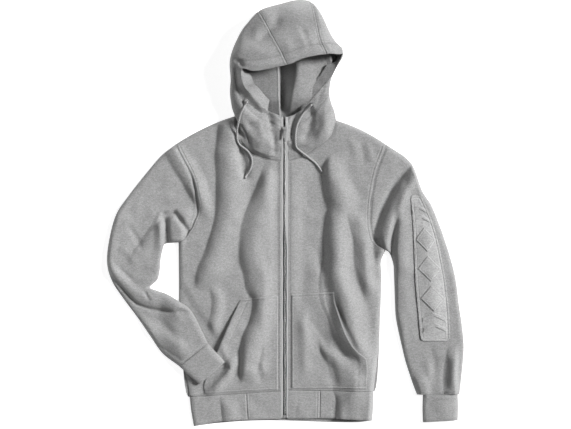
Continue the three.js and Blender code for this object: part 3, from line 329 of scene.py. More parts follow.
def ends_fade(place, share):
    """From 0 at both ends of a line to 1 between them"""
    return smooth(place / share) * smooth((1 - place) / share)


def sunk(d, *places):
    """How far cloth sinks at distance d from an edge: a bell at each seam and row of stitches"""
    rows = [row for place in places for row in SINKS[place]]
    return sum(depth * np.exp(-((d - at) / reach) ** 2) for depth, reach, at in rows)


def fold_lift(one, x, y):
    """A parabola from foot to crest, then a smooth tail, faded in and out along the fold"""
    run, across = (x, y) if one["axis"] == "x" else (y, x)
    at, foot, crest = one["rows"]
    foot_here, crest_here = spline(at, foot, run), spline(at, crest, run)
    q = (across - foot_here) / (crest_here - foot_here)
    tail = 1 - smooth((q - 1) * np.abs(crest_here - foot_here) / one["tail"])
    shape = np.where(q <= 0, 0, np.where(q < 1, 1 - (1 - q) ** 2, tail))
    return one["lift"] * shape * smooth((run - at[0]) / FOLD_FADE) * smooth((at[-1] - run) / FOLD_FADE)


def outside_press(x, y):
    """Largest distance by which a place lies outside one of the pressed outline's edges"""
    a, b = PRESS, np.roll(PRESS, -1, axis=0)
    d = b - a
    return ((d[:, 0] * (y[..., None] - a[:, 1]) - d[:, 1] * (x[..., None] - a[:, 0])) / length_of(d)).max(-1)


def near_line(points, x, y):
    """Distance to a line of points, and how far along it the nearest place lies, from 0 to 1"""
    points = np.array(points, float)
    steps, runs = np.diff(points, axis=0), run_along(points)
    best, place = np.full(x.shape, np.inf), np.zeros(x.shape)
    for a, step, length, run in zip(points, steps, length_of(steps), runs):
        t = np.clip(((x - a[0]) * step[0] + (y - a[1]) * step[1]) / length ** 2, 0, 1)
        d = np.hypot(x - a[0] - t * step[0], y - a[1] - t * step[1])
        place = np.where(d < best, (run + t * length) / runs[-1], place)
        best = np.minimum(d, best)
    return best, place


# Soft creases that the solids leave out: where, height (a trough is negative), half width, and a line.
# b the body, l and r the sleeves, c the cuffs, h the hood's crown and k its collar.
CREASES = [
    ("h", -6.5, 9, (-2, 457), (-29, 431), (-66, 400)),
    ("h", 3.0, 9, (-18, 462), (-52, 440), (-86, 408)),
    ("h", -4.0, 5, (-124, 366), (-104, 352), (-92, 336)),
    ("h", 2.5, 9, (-80, 382), (-50, 372), (-20, 368)),
    ("h", -2.5, 7, (36, 440), (50, 405), (60, 375)),
    ("h", 24.0, 32, (-210, 420), (-20, 470), (60, 468), (250, 430)),
    ("h", 16.0, 54, (118, 560), (116, 425), (110, 385), (122, 280)),
    ("h", 7.0, 11, (-110, 338), (-60, 342), (0, 350), (50, 366), (100, 374), (150, 376)),
    ("b", 8.0, 20, (128, -20), (130, -130), (146, -220), (170, -300)),
    ("b", -6.0, 12, (92, -40), (92, -130), (106, -210), (126, -290)),
    ("b", 7.0, 14, (-28, 190), (-30, 60), (-30, -60), (-28, -200)),
    ("b", 7.0, 16, (38, -200), (43, -300), (50, -400)),
    ("k", 12.0, 8.5, (-99, 390), (-95, 304), (-80, 276), (-59, 250), (-36, 236), (6, 212)),
    ("k", -4.0, 9, (-118, 380), (-113, 304), (-97, 262), (-72, 236), (-40, 220)),
    ("k", -6.0, 8, (-46, 250), (-34, 226), (-25, 196)),
    ("k", 13.0, 26, (124, 300), (106, 226), (86, 180), (60, 110)),
    ("k", -11.0, 12, (72, 250), (58, 215), (47, 158)),
    ("b", -14.0, 10, (-108, 168), (-98, 120), (-88, 70)),
    ("b", -4.0, 18, (36, 150), (38, 0), (38, -120), (36, -280)),
    ("b", -8.0, 30, (70, 170), (74, 60), (78, -40), (82, -160)),
    ("b", 4.0, 12, (184, -40), (191, -120), (200, -200)),
    ("b", 6.0, 26, (186, -410), (188, -450), (190, -510)),
    ("r", 10.0, 15, (252, -72), (257, -36), (274, 10), (298, 62), (330, 118)),
    ("r", -6.0, 10, (224, -150), (220, -86), (215, -40), (230, 10), (258, 62), (290, 118)),
    ("r", -7.0, 8, (214, -52), (226, -76), (240, -92)),
    ("r", -12.0, 8, (268, 40), (255, -40), (250, -80), (251, -130), (258, -210)),
    ("r", 6.0, 20, (284, 20), (278, -60), (277, -160), (284, -260), (298, -350)),
    ("r", 7.0, 28, (296, 80), (322, 0), (334, -60), (346, -150), (352, -240), (352, -340)),
    ("c", 5.0, 24, (378, -400), (378, -450), (378, -510)),
    ("k", -5.5, 5, (-106, 214), (-94, 184), (-78, 158)),
    ("k", -5.0, 7, (-38, 232), (-29, 190), (-19, 146)),
    ("k", 3.0, 9, (-62, 222), (-54, 190), (-44, 158)),
    ("k", -6.5, 6, (40, 252), (24, 226), (17, 196), (19, 158)),
    ("k", 3.5, 9, (62, 236), (48, 206), (46, 176)),
    ("k", -3.0, 7, (84, 232), (78, 200), (60, 170)),
    ("b", 13.0, 26, (150, -250), (186, -345), (206, -400), (210, -640)),
    ("b", 9.0, 12, (-190, -440), (-152, -402), (-128, -366), (-112, -320)),
    ("b", -3.5, 9, (100, -330), (116, -370), (122, -418)),
    ("b", 8.0, 20, (150, -330), (164, -395), (168, -450), (168, -640)),
    ("b", -4.0, 4.5, (118, -178), (123, -212), (142, -266), (163, -308), (196, -345)),
    ("b", -3.0, 8, (-66, -345), (-58, -372), (-56, -402)),
    ("l", -15.0, 7, (-284, 14), (-279, -22), (-278, -100)),
    ("l", -10.0, 6, (-310, -34), (-283, -7), (-258, 2), (-240, -22), (-215, -62)),
    ("l", 8.0, 50, (-390, 90), (-405, -20), (-415, -100), (-405, -180)),
    ("l", 3.0, 6, (-296, -16), (-290, -34), (-288, -62)),
    ("l", -3.5, 4, (-412, -138), (-386, -172), (-347, -213), (-314, -225), (-262, -231), (-232, -228)),
    ("l", -4.0, 4, (-330, -180), (-322, -194), (-316, -206)),
    ("r", -4.5, 8, (386, -330), (378, -378), (380, -424)),
    ("r", 3.0, 8, (400, -330), (396, -380), (396, -420)),
    ("b", 2.2, 9, (150, 184), (165, 150), (172, 118)),
    ("b", 2.0, 8, (190, 175), (200, 150), (203, 118)),
    ("b", -1.6, 7, (176, 170), (186, 140), (188, 112)),
    ("b", 2.2, 12, (70, 20), (80, -30), (74, -80)),
    ("b", -1.8, 9, (-25, 90), (-20, 40), (-24, -30)),
    ("b", 1.8, 12, (-190, 40), (-175, 0), (-178, -40)),
    ("b", 2.4, 12, (30, -240), (60, -300), (74, -360)),
    ("b", -1.6, 8, (46, -230), (90, -290), (112, -350)),
    ("b", 1.8, 9, (-150, -300), (-135, -350), (-128, -400)),
    ("b", 2.0, 9, (30, -470), (26, -440), (22, -420)),
    ("b", -2.4, 5, (22, -478), (28, -452), (34, -425)),
    ("l", -2.6, 7, (-370, -20), (-345, -60), (-330, -100)),
    ("l", 2.4, 9, (-390, -70), (-365, -95), (-345, -125)),
    ("l", -2.2, 6, (-405, -125), (-375, -140), (-345, -170)),
    ("l", 1.8, 10, (-330, 60), (-345, 20), (-350, -20)),
    ("l", -1.6, 8, (-315, -235), (-280, -262), (-245, -300)),
    ("l", 1.6, 9, (-290, -205), (-262, -228), (-232, -262)),
    ("r", -2.0, 9, (270, 110), (290, 60), (300, 10)),
    ("r", 2.2, 10, (300, 120), (318, 70), (322, 20)),
    ("r", -1.8, 8, (340, -300), (352, -345), (350, -400)),
    ("r", 2.0, 9, (330, -330), (340, -370), (336, -420)),
    ("r", -1.8, 9, (275, -210), (290, -260), (296, -320)),
]


def creases(x, y, on):
    """Bell-shaped ridges and troughs beside lines, faded towards both ends of each line"""
    total = np.zeros(np.broadcast(x, y).shape)
    for where, rise, half, *line in CREASES:
        if where == on:
            far, place = near_line(line, x, y)
            total += rise * np.exp(-(far / half) ** 2) * ends_fade(place, CREASE_FADE)
    return total


def ripple(x, y, seed, size=0.35):
    """Sum of slanted sine waves, higher where they are longer"""
    rng = np.random.default_rng(seed)
    total = 0
    for wave in np.geomspace(*RIPPLE_WAVES):
        angle, phase = rng.uniform(0, math.pi), rng.uniform(0, 2 * math.pi)
        along = x * math.cos(angle) + y * math.sin(angle)
        total = total + wave / RIPPLE_UNIT * np.sin(2 * math.pi * along / wave + phase)
    return size * total / 2


def zip_top(y):
    return spline(ZIP_RISE["y"], ZIP_RISE["z"], y)


def height(x, y, on):
    """Cloth above its own edge: puff and folds, level beside the zip and pressed under the bent sleeve"""
    x, y = pair(x, y)
    h = PUFF + sum(fold_lift(one, x, y) for one in FOLDS if on in one["on"])
    h = np.maximum(h + creases(x, y, on) + ripple(x, y, ord(on)), LOWEST)
    if on == "b":
        h = mix(zip_top(y) - LIE, h, smooth((np.abs(x - ZIP_MID) - ZIP_HALF) / ZIP_FLAT))
        h = mix(PRESSED, h, smooth(outside_press(x, y) / PRESS_FADE))
    return h


def slant(x, y, on):
    """Length of a slanted wall measured straight down, for a wall one unit thick"""
    step = 2.0
    dx = (height(x + step, y, on) - height(x - step, y, on)) / (2 * step)
    dy = (height(x, y + step, on) - height(x, y - step, on)) / (2 * step)
    return np.minimum(np.sqrt(1 + dx * dx + dy * dy), STEEPEST)


def roll_up(d):
    """Quarter circle from 0 at the edge to 1 at the roll's radius"""
    return np.sqrt(1 - (1 - np.minimum(d / ROLL, 1)) ** 2)


def tuck_in(d):
    """Share of its thickness by which a wall's inner face is drawn in beside a rolled edge"""
    return np.maximum(0, 1 - d / ROLL)


def climb(x, y):
    """Underside of the bent sleeve: on the floor, then a ramp up onto the front"""
    side = spline(BODY_LEFT[0]["outY"], BODY_LEFT[0]["outX"], y)
    return REST * smooth((x - side + CLIMB) / CLIMB) * smooth((CLIMB_TOP - y) / CLIMB_FADE)


def level(x, y):
    return np.zeros(np.broadcast(x, y).shape)


def body_ends(body, r):
    """Inner and outer end of a body row; r is 0 at the hem, 1 at the armpit, 2 at the neck, 3 at the top"""
    r = np.asarray(r, float)
    found = np.zeros(r.shape + (4,))
    for group, rows in enumerate(body):
        here = (r >= group) & ((r < group + 1) | (group == 2))
        found[here] = between(rows, ROW, (r[here] - group) * (len(rows["inX"]) - 1))
    return found[..., :2], found[..., 2:]


def body_plan(body, r, u):
    """Straight rows from the zip to the side, with the top ones bowed out towards the shoulder's arch"""
    r, u = pair(r, u)
    inner, outer = body_ends(body, r)
    steps = np.linspace(0, 1, len(YOKE_STEPS))
    bow = SHOULDER_ARCH * 4 * u * (1 - u) * smooth(np.interp((r - 2) * YOKE_STEPS[-1], YOKE_STEPS, steps))
    return mix(inner, outer, u[..., None]) + np.stack([0 * bow, bow], -1), inner, outer


def front(body, r, u):
    """Outer and inner face of a front at row r and share u of the row, rolled down at side and shoulder"""
    r, u = pair(r, u)
    p, inner, outer = body_plan(body, r, u)
    x, y = p[..., 0], p[..., 1]
    below_armpit = (r < 1)[..., None]
    side_end = np.where(below_armpit, outer, body_ends(body, np.full(r.shape, 1.0))[1])
    shoulder, below_shoulder = (body_plan(body, np.full(r.shape, row), u)[0] for row in (3.0, 2.98))
    side, top = length_of(p - side_end), length_of(p - shoulder)
    d = np.minimum(side, top)
    h = height(x, y, "b")
    row = length_of(outer - inner)
    armhole = np.where(r < 1, np.inf, (1 - u) * row)
    waist = length_of(p - body_plan(body, np.zeros(r.shape), u)[0])
    zip_edge = "right zip edge" if body is BODY_RIGHT else "left zip edge"
    sink = sunk(armhole, "armhole") + sunk(u * row, zip_edge) + sunk(waist, "waist")
    from_side, from_top = np.where(below_armpit, inner, p) - side_end, below_shoulder - shoulder
    way = np.where((side < top)[..., None], from_side, from_top)
    z = LIE + h * roll_up(d)
    under = LIE + np.maximum(h - CLOTH * slant(x, y, "b"), LEAST_HOLLOW) * roll_up(d)
    outer_face = lay(p, z - np.minimum(sink, (z - under) * DEEPEST))
    return outer_face, lay(p + unit(way) * (CLOTH * tuck_in(d))[..., None], under)


# Materials
class Value:
    """A number that comes out of a node. Arithmetic on it adds Math nodes."""

    def __init__(self, finish, socket):
        self.finish, self.socket = finish, socket

    def math(self, operation, *others):
        node = self.finish.node("ShaderNodeMath", {"operation": operation},
                                {i: value for i, value in enumerate((self, *others))})
        return Value(self.finish, node.outputs[0])

    def __add__(self, other):
        return self.math("ADD", other)

    def __mul__(self, other):
        return self.math("MULTIPLY", other)

    def __sub__(self, other):
        return self.math("SUBTRACT", other)

    def __rsub__(self, other):
        return self * -1 + other

    __radd__, __rmul__ = __add__, __mul__


class Finish:
    """One material with its shader, and one way to add any node"""

    def __init__(self, name, **constants):
        self.material = bpy.data.materials.new(name)
        self.material.use_nodes = True
        self.tree = self.material.node_tree
        self.tree.nodes.clear()
        self.shader = self.node("ShaderNodeBsdfPrincipled", {}, constants)
        self.node("ShaderNodeOutputMaterial", {}, {"Surface": self.shader.outputs[0]})
        self.place = self.node("ShaderNodeTexCoord")

    def node(self, kind, settings=None, sockets=None):
        made = self.tree.nodes.new(kind)
        for name, value in (settings or {}).items():
            if name == "stops":
                for i, (at, tone) in enumerate(value):
                    stop = made.color_ramp.elements[i] if i < 2 else made.color_ramp.elements.new(at)
                    stop.position, stop.color = at, (*tone, 1)
            else:
                setattr(made, name, value)
        for name, value in (sockets or {}).items():
            socket = made.inputs[name]
            value = value.socket if isinstance(value, Value) else value
            if isinstance(value, bpy.types.NodeSocket):
                self.tree.links.new(value, socket)
            else:
                socket.default_value = value
        return made

    def spread(self, scale, uv=False):
        """Object or cloth coordinates, stretched by a scale per axis"""
        source = self.place.outputs["UV" if uv else "Object"]
        return self.node("ShaderNodeMapping", {}, {"Vector": source, "Scale": scale}).outputs[0]

    def noise(self, scale, detail, stretch=(1, 1, 1)):
        node = self.node("ShaderNodeTexNoise", {}, {"Vector": self.spread(stretch), "Scale": scale,
                                                   "Detail": detail, "Roughness": 0.6})
        return Value(self, node.outputs[0])

    def waves(self, pitch, direction, distortion=0.0):
        """Sine bands of a pitch in metres along X or Y of the cloth"""
        node = self.node("ShaderNodeTexWave", {"wave_type": "BANDS", "bands_direction": direction},
                         {"Vector": self.spread((1, 1, 1), True), "Scale": math.pi / (10 * pitch),
                          "Distortion": distortion, "Detail": 1.0, "Detail Scale": 3.0})
        return Value(self, node.outputs[1])

    def ramp(self, factor, *stops):
        return self.node("ShaderNodeValToRGB", {"stops": stops}, {0: factor}).outputs[0]

    def colour(self, socket):
        self.tree.links.new(socket, self.shader.inputs["Base Color"])

    def bump(self, depth, factor):
        """Relief of a depth in metres"""
        node = self.node("ShaderNodeBump", {}, {"Distance": depth, "Height": factor, "Strength": 1.0})
        self.tree.links.new(node.outputs[0], self.shader.inputs["Normal"])

    def rough(self, value):
        self.tree.links.new(value.socket, self.shader.inputs["Roughness"])


def grey(tone):
    return (tone, tone, tone)


def knit(name, tone, wale, depth, contrast=1.0):
    """Heather knit: flecks of dark and light fibre, soft mottling, and columns of stitches in relief"""
    f = Finish(name, **{"Roughness": 0.95, "Sheen Weight": 0.25, "Sheen Roughness": 0.5,
                        "Specular IOR Level": 0.25})
    flecks = f.noise(900, 3.0, (1, 0.45, 1))
    mottle = f.noise(300, 4.0, (0.55, 1, 1))
    clouds = f.noise(24, 3.0)
    blend = flecks * 0.56 + mottle * 0.34 + clouds * 0.10
    lift = 0.36 * contrast
    f.colour(f.ramp(blend, (0.30, grey(tone * (1 - lift))), (0.46, grey(tone * (1 - lift * 0.35))),
                    (0.54, grey(tone * (1 + lift * 0.3))), (0.70, grey(tone * (1 + lift)))))
    columns = f.waves(wale, "X", 1.2)
    rows = f.waves(wale * 0.8, "Y", 1.5)
    pills = f.noise(420, 4.0)
    f.bump(depth, columns * 0.45 + rows * 0.25 + pills * 0.9)
    f.rough(0.88 + pills * 0.12)
    return f.material


fleece = knit("heather_fleece", 0.285, 0.0013, 0.0006)
ribbing = knit("heather_rib", 0.28, 0.0011, 0.0005)
patch_cloth = knit("patch_jersey", 0.37, 0.0010, 0.0004, 1.1)


def woven(name, tone, pitch, depth):
    """Tight plain weave of a tape or a thread"""
    f = Finish(name, **{"Roughness": 0.85, "Specular IOR Level": 0.3})
    threads = f.waves(pitch, "X") * 0.5 + f.waves(pitch, "Y") * 0.5
    shade = threads * 0.6 + f.noise(1500, 2.0) * 0.4
    f.colour(f.ramp(shade, (0.2, grey(tone * 0.6)), (0.8, grey(tone * 1.3))))
    f.bump(depth, threads)
    return f.material


tape_cloth = woven("zip_tape_weave", 0.40, 0.0006, 0.0002)
# The zip's core is near black as painted shade: its tone stands in for the shadow in the gap between the
# tapes.
painted_shade_tape = woven("zip_core_painted_shade", 0.07, 0.0006, 0.0002)
thread = woven("grey_thread", 0.24, 0.0004, 0.0001)


def braid(name, tone):
    """Round braid: slanting strands from two crossed waves on the cord's own coordinates"""
    f = Finish(name, **{"Roughness": 0.85, "Sheen Weight": 0.2, "Specular IOR Level": 0.3})
    crossed = (f.node("ShaderNodeTexWave", {"wave_type": "BANDS", "bands_direction": "DIAGONAL"},
                      {"Vector": f.spread((1, way, 0), True), "Scale": 130.0}) for way in (1, -1))
    left, right = (Value(f, node.outputs[1]) for node in crossed)
    strands = left * 0.5 + right * 0.5
    shade = strands * 0.6 + f.noise(700, 3.0) * 0.4
    f.colour(f.ramp(shade, (0.2, grey(tone * 0.55)), (0.75, grey(tone * 1.25))))
    f.bump(0.0005, strands)
    return f.material


cord_braid = braid("cord_braid", 0.31)


def metal(name, tone, rough, bare=1.0):
    """Worn satin metal with small changes in tone and gloss; a lacquered one is less bare"""
    f = Finish(name, **{"Metallic": bare, "Roughness": rough})
    wear = f.noise(260, 4.0)
    f.colour(f.ramp(wear, (0.3, grey(tone * 0.75)), (0.7, grey(tone * 1.15))))
    f.rough(rough - 0.08 + wear * 0.16)
    f.bump(0.00005, f.noise(1400, 2.0))
    return f.material


nickel = metal("satin_nickel", 0.52, 0.36)
aged_nickel = metal("aged_nickel", 0.24, 0.55)
lacquered = metal("grey_lacquered_zinc", 0.30, 0.48, 0.35)


def plain_floor():
    f = Finish("floor", **{"Roughness": 0.9, "Specular IOR Level": 0.1, "Emission Color": (1, 1, 1, 1),
                           "Emission Strength": 0.8})
    f.colour(f.ramp(f.noise(3, 2.0), (0.3, grey(0.56)), (0.7, grey(0.58))))
    return f.material


# Meshes
def piece(name, points, faces, material, uv, replaces=()):
    """A mesh object from points in table millimetres and faces of three or four corners"""
    mesh = bpy.data.meshes.new(name)
    mesh.from_pydata(((points + SHIFT) / 1000).tolist(), [], faces)
    mesh.polygons.foreach_set("use_smooth", np.ones(len(mesh.polygons), bool))
    layer = mesh.uv_layers.new(name="cloth")
    corner = np.empty(len(mesh.loops), np.int32)
    mesh.loops.foreach_get("vertex_index", corner)
    layer.data.foreach_set("uv", (uv[corner] / 1000).astype(np.float32).ravel())
    mesh.update()
    made = bpy.data.objects.new(name, mesh)
    bpy.context.scene.collection.objects.link(made)
    mesh.materials.append(material)
    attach(made, GARMENT)
    if replaces:
        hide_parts(*replaces)
    return made


def quads(rows, cols, start=0, closed=False):
    """Corner numbers of a grid's quads"""
    i, j = np.meshgrid(np.arange(rows - 1), np.arange(cols if closed else cols - 1), indexing="ij")
    k = (j + 1) % cols
    corners = [i * cols + j, i * cols + k, (i + 1) * cols + k, (i + 1) * cols + j]
    return np.stack(corners, -1).reshape(-1, 4) + start


def block_faces(places, sides):
    """Corner numbers of a closed block of rings: its sides, and a fan of quads over each end"""
    last = (places - 1) * sides
    fans = [(0, k, k + 1, k + 2) for k in range(1, sides - 2, 2)]
    return np.concatenate([quads(places, sides, 0, True)[:, ::-1], fans,
                           [[last + corner for corner in fan[::-1]] for fan in fans]])


def repeated(block, count, size, start):
    """Corner numbers of a block of so many points, repeated count times"""
    return (block[None] + (np.arange(count) * size)[:, None, None]).reshape(-1, 4) + start


def cloth_uv(grid):
    """Mean distances along and across a grid"""
    u = np.concatenate([[0], np.cumsum(length_of(np.diff(grid, axis=1)).mean(0))])
    v = np.concatenate([[0], np.cumsum(length_of(np.diff(grid, axis=0)).mean(1))])
    return np.stack(np.meshgrid(u - u.mean(), v, indexing="xy"), -1)


def shell_mesh(outer, inner, closed=False):
    """Closed wall between two grids: both faces and the strips that join their edges, turned outward"""
    rows, cols = outer.shape[:2]
    n = rows * cols
    faces = [quads(rows, cols, 0, closed), quads(rows, cols, n, closed)[:, ::-1]]
    j = np.arange(cols if closed else cols - 1)
    k = (j + 1) % cols
    last = (rows - 1) * cols
    faces.append(np.stack([k, j, j + n, k + n], -1))
    faces.append(np.stack([last + j, last + k, last + k + n, last + j + n], -1))
    if not closed:
        i = np.arange(rows - 1) * cols
        e = i + cols - 1
        faces.append(np.stack([i, i + cols, i + cols + n, i + n], -1))
        faces.append(np.stack([e + cols, e, e + n, e + cols + n], -1))
    faces = np.concatenate(faces)
    points = np.concatenate([outer.reshape(-1, 3), inner.reshape(-1, 3)])
    a, b, c, d = (points[faces[:, corner]] for corner in range(4))
    volume = (np.cross(b - a, c - a) * a).sum() + (np.cross(c - a, d - a) * a).sum()
    return points, faces if volume > 0 else faces[:, ::-1]


def shell(name, grids, material, node, closed=False, plan_uv=False):
    """A cloth piece from its outer and inner grid, in place of a solid"""
    points, faces = shell_mesh(*grids, closed)
    uv = grids[0][..., :2] if plan_uv else cloth_uv(grids[0])
    uv = np.concatenate([uv.reshape(-1, 2)] * 2)
    piece(name, points, faces.tolist(), material, uv, [node])


FIRST_ROW, LAST_ROW = (0, 1), (-1, -2)
FIRST_COLUMN, LAST_COLUMN = (tuple((slice(None), place) for place in row) for row in (FIRST_ROW, LAST_ROW))


def apart(grids, edge, inward):
    """Moves an edge of the outer and the inner grid towards its neighbours by the seam's gap"""
    for part in grids:
        part[edge] += unit(part[inward] - part[edge]) * SEAM


# A stitch: length, gap to the next, radius, and height of its middle above the cloth
STITCH, STITCH_GAP, STITCH_RADIUS, STITCH_LIFT = 2.7, 1.0, 0.45, 0.15


def stitches(lines):
    """Short rounded stitches along lines of (points, normals): six-sided rings, sunk at both ends"""
    points, faces, start = [], [], 0
    angle = np.arange(6) * math.pi / 3
    at_ring = np.array([-0.5, -0.28, 0.28, 0.5]) * STITCH
    size = STITCH_RADIUS * np.array([0.35, 1, 1, 0.35])
    high = STITCH_LIFT + np.array([-0.35, 0, 0, -0.35])
    block = len(size) * len(angle)
    for line, normal in lines:
        run = run_along(line)
        count = int(run[-1] // (STITCH + STITCH_GAP))
        at = (np.arange(count)[:, None] + 0.5) * run[-1] / count + at_ring
        centre, up = (np.stack([np.interp(at, run, values[:, k]) for k in range(3)], -1)
                      for values in (line, normal))
        up = unit(up)
        side = np.cross(unit(np.gradient(centre, axis=1)), up)
        around = side[:, :, None] * np.cos(angle)[:, None] + up[:, :, None] * np.sin(angle)[:, None]
        centre = centre + up * high[:, None]
        points.append((centre[:, :, None] + around * size[:, None, None]).reshape(-1, 3))
        faces.append(repeated(block_faces(len(size), len(angle)), count, block, start))
        start += count * block
    return np.concatenate(points), np.concatenate(faces)


def sew(name, lines):
    points, faces = stitches(lines)
    piece(name, points, faces.tolist(), thread, points[:, :2])


def on_grid(function, *places):
    """Points and normals of a surface function along a line of its two parameters"""
    a, b = pair(*places)
    step = 1e-3
    point = function(a, b)
    n = unit(np.cross(function(a, b + step) - point, function(a + step, b) - point))
    return point, np.where(n[..., 2:] < 0, -n, n)


# Fronts and back
ROWS_R = spaced([0, 0.03, 1, 2, 2.9, 3], [6, 74, 38, 30, 14])
COLUMNS_U = spaced([0, 0.03, 0.93, 1], [8, 78, 20])


def make_front(side, body):
    grids = front(body, ROWS_R[:, None], COLUMNS_U[None, :])
    chest, yoke = (slice(int(np.searchsorted(ROWS_R, row)), None) for row in (1.0, 2.0))
    apart(grids, *FIRST_ROW)
    apart(grids, (chest, -1), (chest, -2))
    apart(grids, (yoke, 0), (yoke, 1))
    shell(f"front_{side}_cloth", grids, fleece, f"front_{side}",
          plan_uv=True)


make_front("left", BODY_LEFT)
make_front("right", BODY_RIGHT)

# Shares of the back's top edge where the neck starts and ends
NECK_STARTS, NECK_ENDS = 0.276, 0.764


def back_plan(r, u):
    """Rows from side to side, then rows up to a shoulder line, the back neck and the other shoulder line"""
    r, u = pair(r, u)
    low = np.minimum(r, 3.0)
    row = mix(body_ends(BODY_LEFT, low)[1], body_ends(BODY_RIGHT, low)[1], u[..., None])
    row[..., 1] = mix(hem_seam(row[..., 0]), row[..., 1], smooth(r / 0.4))
    share = np.clip((u - NECK_STARTS) / (NECK_ENDS - NECK_STARTS), 0, 1)
    neck = between(BACK_NECK, "x y", share * (len(BACK_NECK["x"]) - 1))
    shoulder = np.full(u.shape, 3.0)
    left = body_plan(BODY_LEFT, shoulder, np.clip(1 - u / NECK_STARTS, 0, 1))[0]
    right = body_plan(BODY_RIGHT, shoulder, np.clip((u - NECK_ENDS) / (1 - NECK_ENDS), 0, 1))[0]
    top = np.where((u < NECK_STARTS)[..., None], left, np.where((u > NECK_ENDS)[..., None], right, neck))
    return mix(row, top, np.clip(r - 3, 0, 1)[..., None])


def hem_seam(x):
    return np.interp(x, HEM_SEAM["x"], HEM_SEAM["y"])


def make_back():
    plan = back_plan(spaced([0, 3, 4], [52, 22])[:, None], eased(72, 0.01)[None, :])
    grids = [lay(plan, np.full(plan.shape[:2], z)) for z in (CLOTH, 0.0)]
    for edge in (FIRST_ROW, LAST_ROW, FIRST_COLUMN, LAST_COLUMN):
        apart(grids, *edge)
    shell("back_cloth", grids, fleece, "back_panel",
          plan_uv=True)


make_back()


# Sleeves and cuffs
def armhole_line(body):
    """The armhole from the shoulder tip to the armpit, with the share of its length at each point"""
    points = body_ends(body, np.linspace(3, 1, 241))[1]
    run = run_along(points)
    return points, run / run[-1]


def sleeve_plan(rows, body, t, u):
    """Straight rows from the outer to the inner edge; the armhole's bulge fades along the first rows"""
    t, u = pair(t, u)
    ends = between(rows, TUBE, t)
    p = mix(ends[..., :2], ends[..., 2:], u[..., None])
    hole, share = armhole_line(body)
    curve = np.stack([np.interp(u, share, hole[:, k]) for k in range(2)], -1)
    bulge = curve - mix(hole[0], hole[-1], u[..., None])
    return p + bulge * (np.maximum(0, 1 - t / BULGE_ROWS) ** 2)[..., None], ends[..., :2], ends[..., 2:]


def tube_faces(plan, out_end, in_end, on, thick, base, puff=1.0, sink=0.0, lift=0.0):
    """Outer and inner grid of a flattened tube: upper wall, then its lower wall back to the start"""
    x, y = plan[..., 0], plan[..., 1]
    first, last = length_of(plan - out_end), length_of(plan - in_end)
    d = np.minimum(first, last)
    h, floor = height(x, y, on) * puff, base(x, y)
    way = unit(mix(out_end, in_end, 0.5) - np.where((first < last)[..., None], out_end, in_end))
    inner_plan = plan + way * (thick * tuck_in(d))[..., None]
    under = np.maximum(h - CLEAR - thick * slant(x, y, on), LEAST_HOLLOW)
    roof = floor + thick + CLEAR + h * roll_up(d)
    ceiling = floor + thick + 2 * CLEAR + under * roll_up(d)
    roof = roof + lift - np.minimum(sink, (roof - ceiling) * DEEPEST)
    tip = 1.4 * np.exp(-(d / 2.5) ** 2)
    outer = [lay(plan, roof), lay(plan, floor + tip)[:, ::-1]]
    inner = [lay(inner_plan, ceiling), lay(inner_plan, floor + thick)[:, ::-1]]
    return np.concatenate(outer, 1), np.concatenate(inner, 1)


SLEEVE_U = spaced([0, 0.06, 0.94, 1], [12, 68, 12])


def make_sleeve(side, rows, body, on, base):
    last = len(rows["outX"]) - 1
    t = spaced([0, 0.25, last - 0.2, last], [10, 122, 8])
    plan, out_end, in_end = sleeve_plan(rows, body, t[:, None], SLEEVE_U[None, :])
    sink = sunk(length_of(plan - plan[0]), "sleeve head") + sunk(length_of(plan - plan[-1]), "sleeve end")
    grids = tube_faces(plan, out_end, in_end, on, CLOTH, base, sink=sink)
    apart(grids, *FIRST_ROW)
    apart(grids, *LAST_ROW)
    shell(f"sleeve_{side}_cloth", grids, fleece, f"sleeve_{side}",
          closed=True)


make_sleeve("left", SLEEVE_LEFT, BODY_LEFT, "l", climb)
make_sleeve("right", SLEEVE_RIGHT, BODY_RIGHT, "r", level)

RIB_PITCH, RIB_DEPTH = 3.1, 0.42


def ribs(s):
    """Rounded ribs with narrow valleys between them: their depth times the root of a raised sine"""
    return RIB_DEPTH * (np.sqrt(np.abs(np.sin(math.pi * s / RIB_PITCH))) - 1)


def make_cuff(side, rows, base, puff):
    u = spaced([0, 0.1, 0.9, 1], [24, 150, 24])
    ends = between(rows, TUBE, np.linspace(0, 2, 22)[:, None] + 0 * u[None, :])
    out_end, in_end = ends[..., :2], ends[..., 2:]
    plan = mix(out_end, in_end, u[None, :, None])
    sink = sunk(length_of(plan - plan[0]), "cuff seam") + sunk(length_of(plan - plan[-1]), "cuff edge")
    relief = ribs(length_of(in_end - out_end) * u[None, :])
    grids = tube_faces(plan, out_end, in_end, "c", RIB, base, puff, sink, relief)
    apart(grids, *FIRST_ROW)
    shell(f"cuff_{side}_rib", grids, ribbing, f"cuff_{side}",
          closed=True)


make_cuff("left", CUFF_LEFT, climb, 0.9)
make_cuff("right", CUFF_RIGHT, level, 1.0)


# Hem
def hem_place(x, v, lower):
    """Plan of the hem at x between its sides and v from the seam to the lower edge"""
    left, right = (between(HEM_SIDES, name, 2 * v)[..., 0] for name in ("left", "right"))
    first, last = HEM_SEAM["x"][0], HEM_SEAM["x"][-1]
    on_left = mix(ZIP_LEFT, left, (x - ZIP_LEFT) / (first - ZIP_LEFT))
    on_right = mix(ZIP_RIGHT, right, (x - ZIP_RIGHT) / (last - ZIP_RIGHT))
    at = np.where(x < ZIP_LEFT, on_left, np.where(x > ZIP_RIGHT, on_right, x))
    return np.stack([at, mix(hem_seam(x), spline(lower["x"], lower["y"], at), v)], -1)


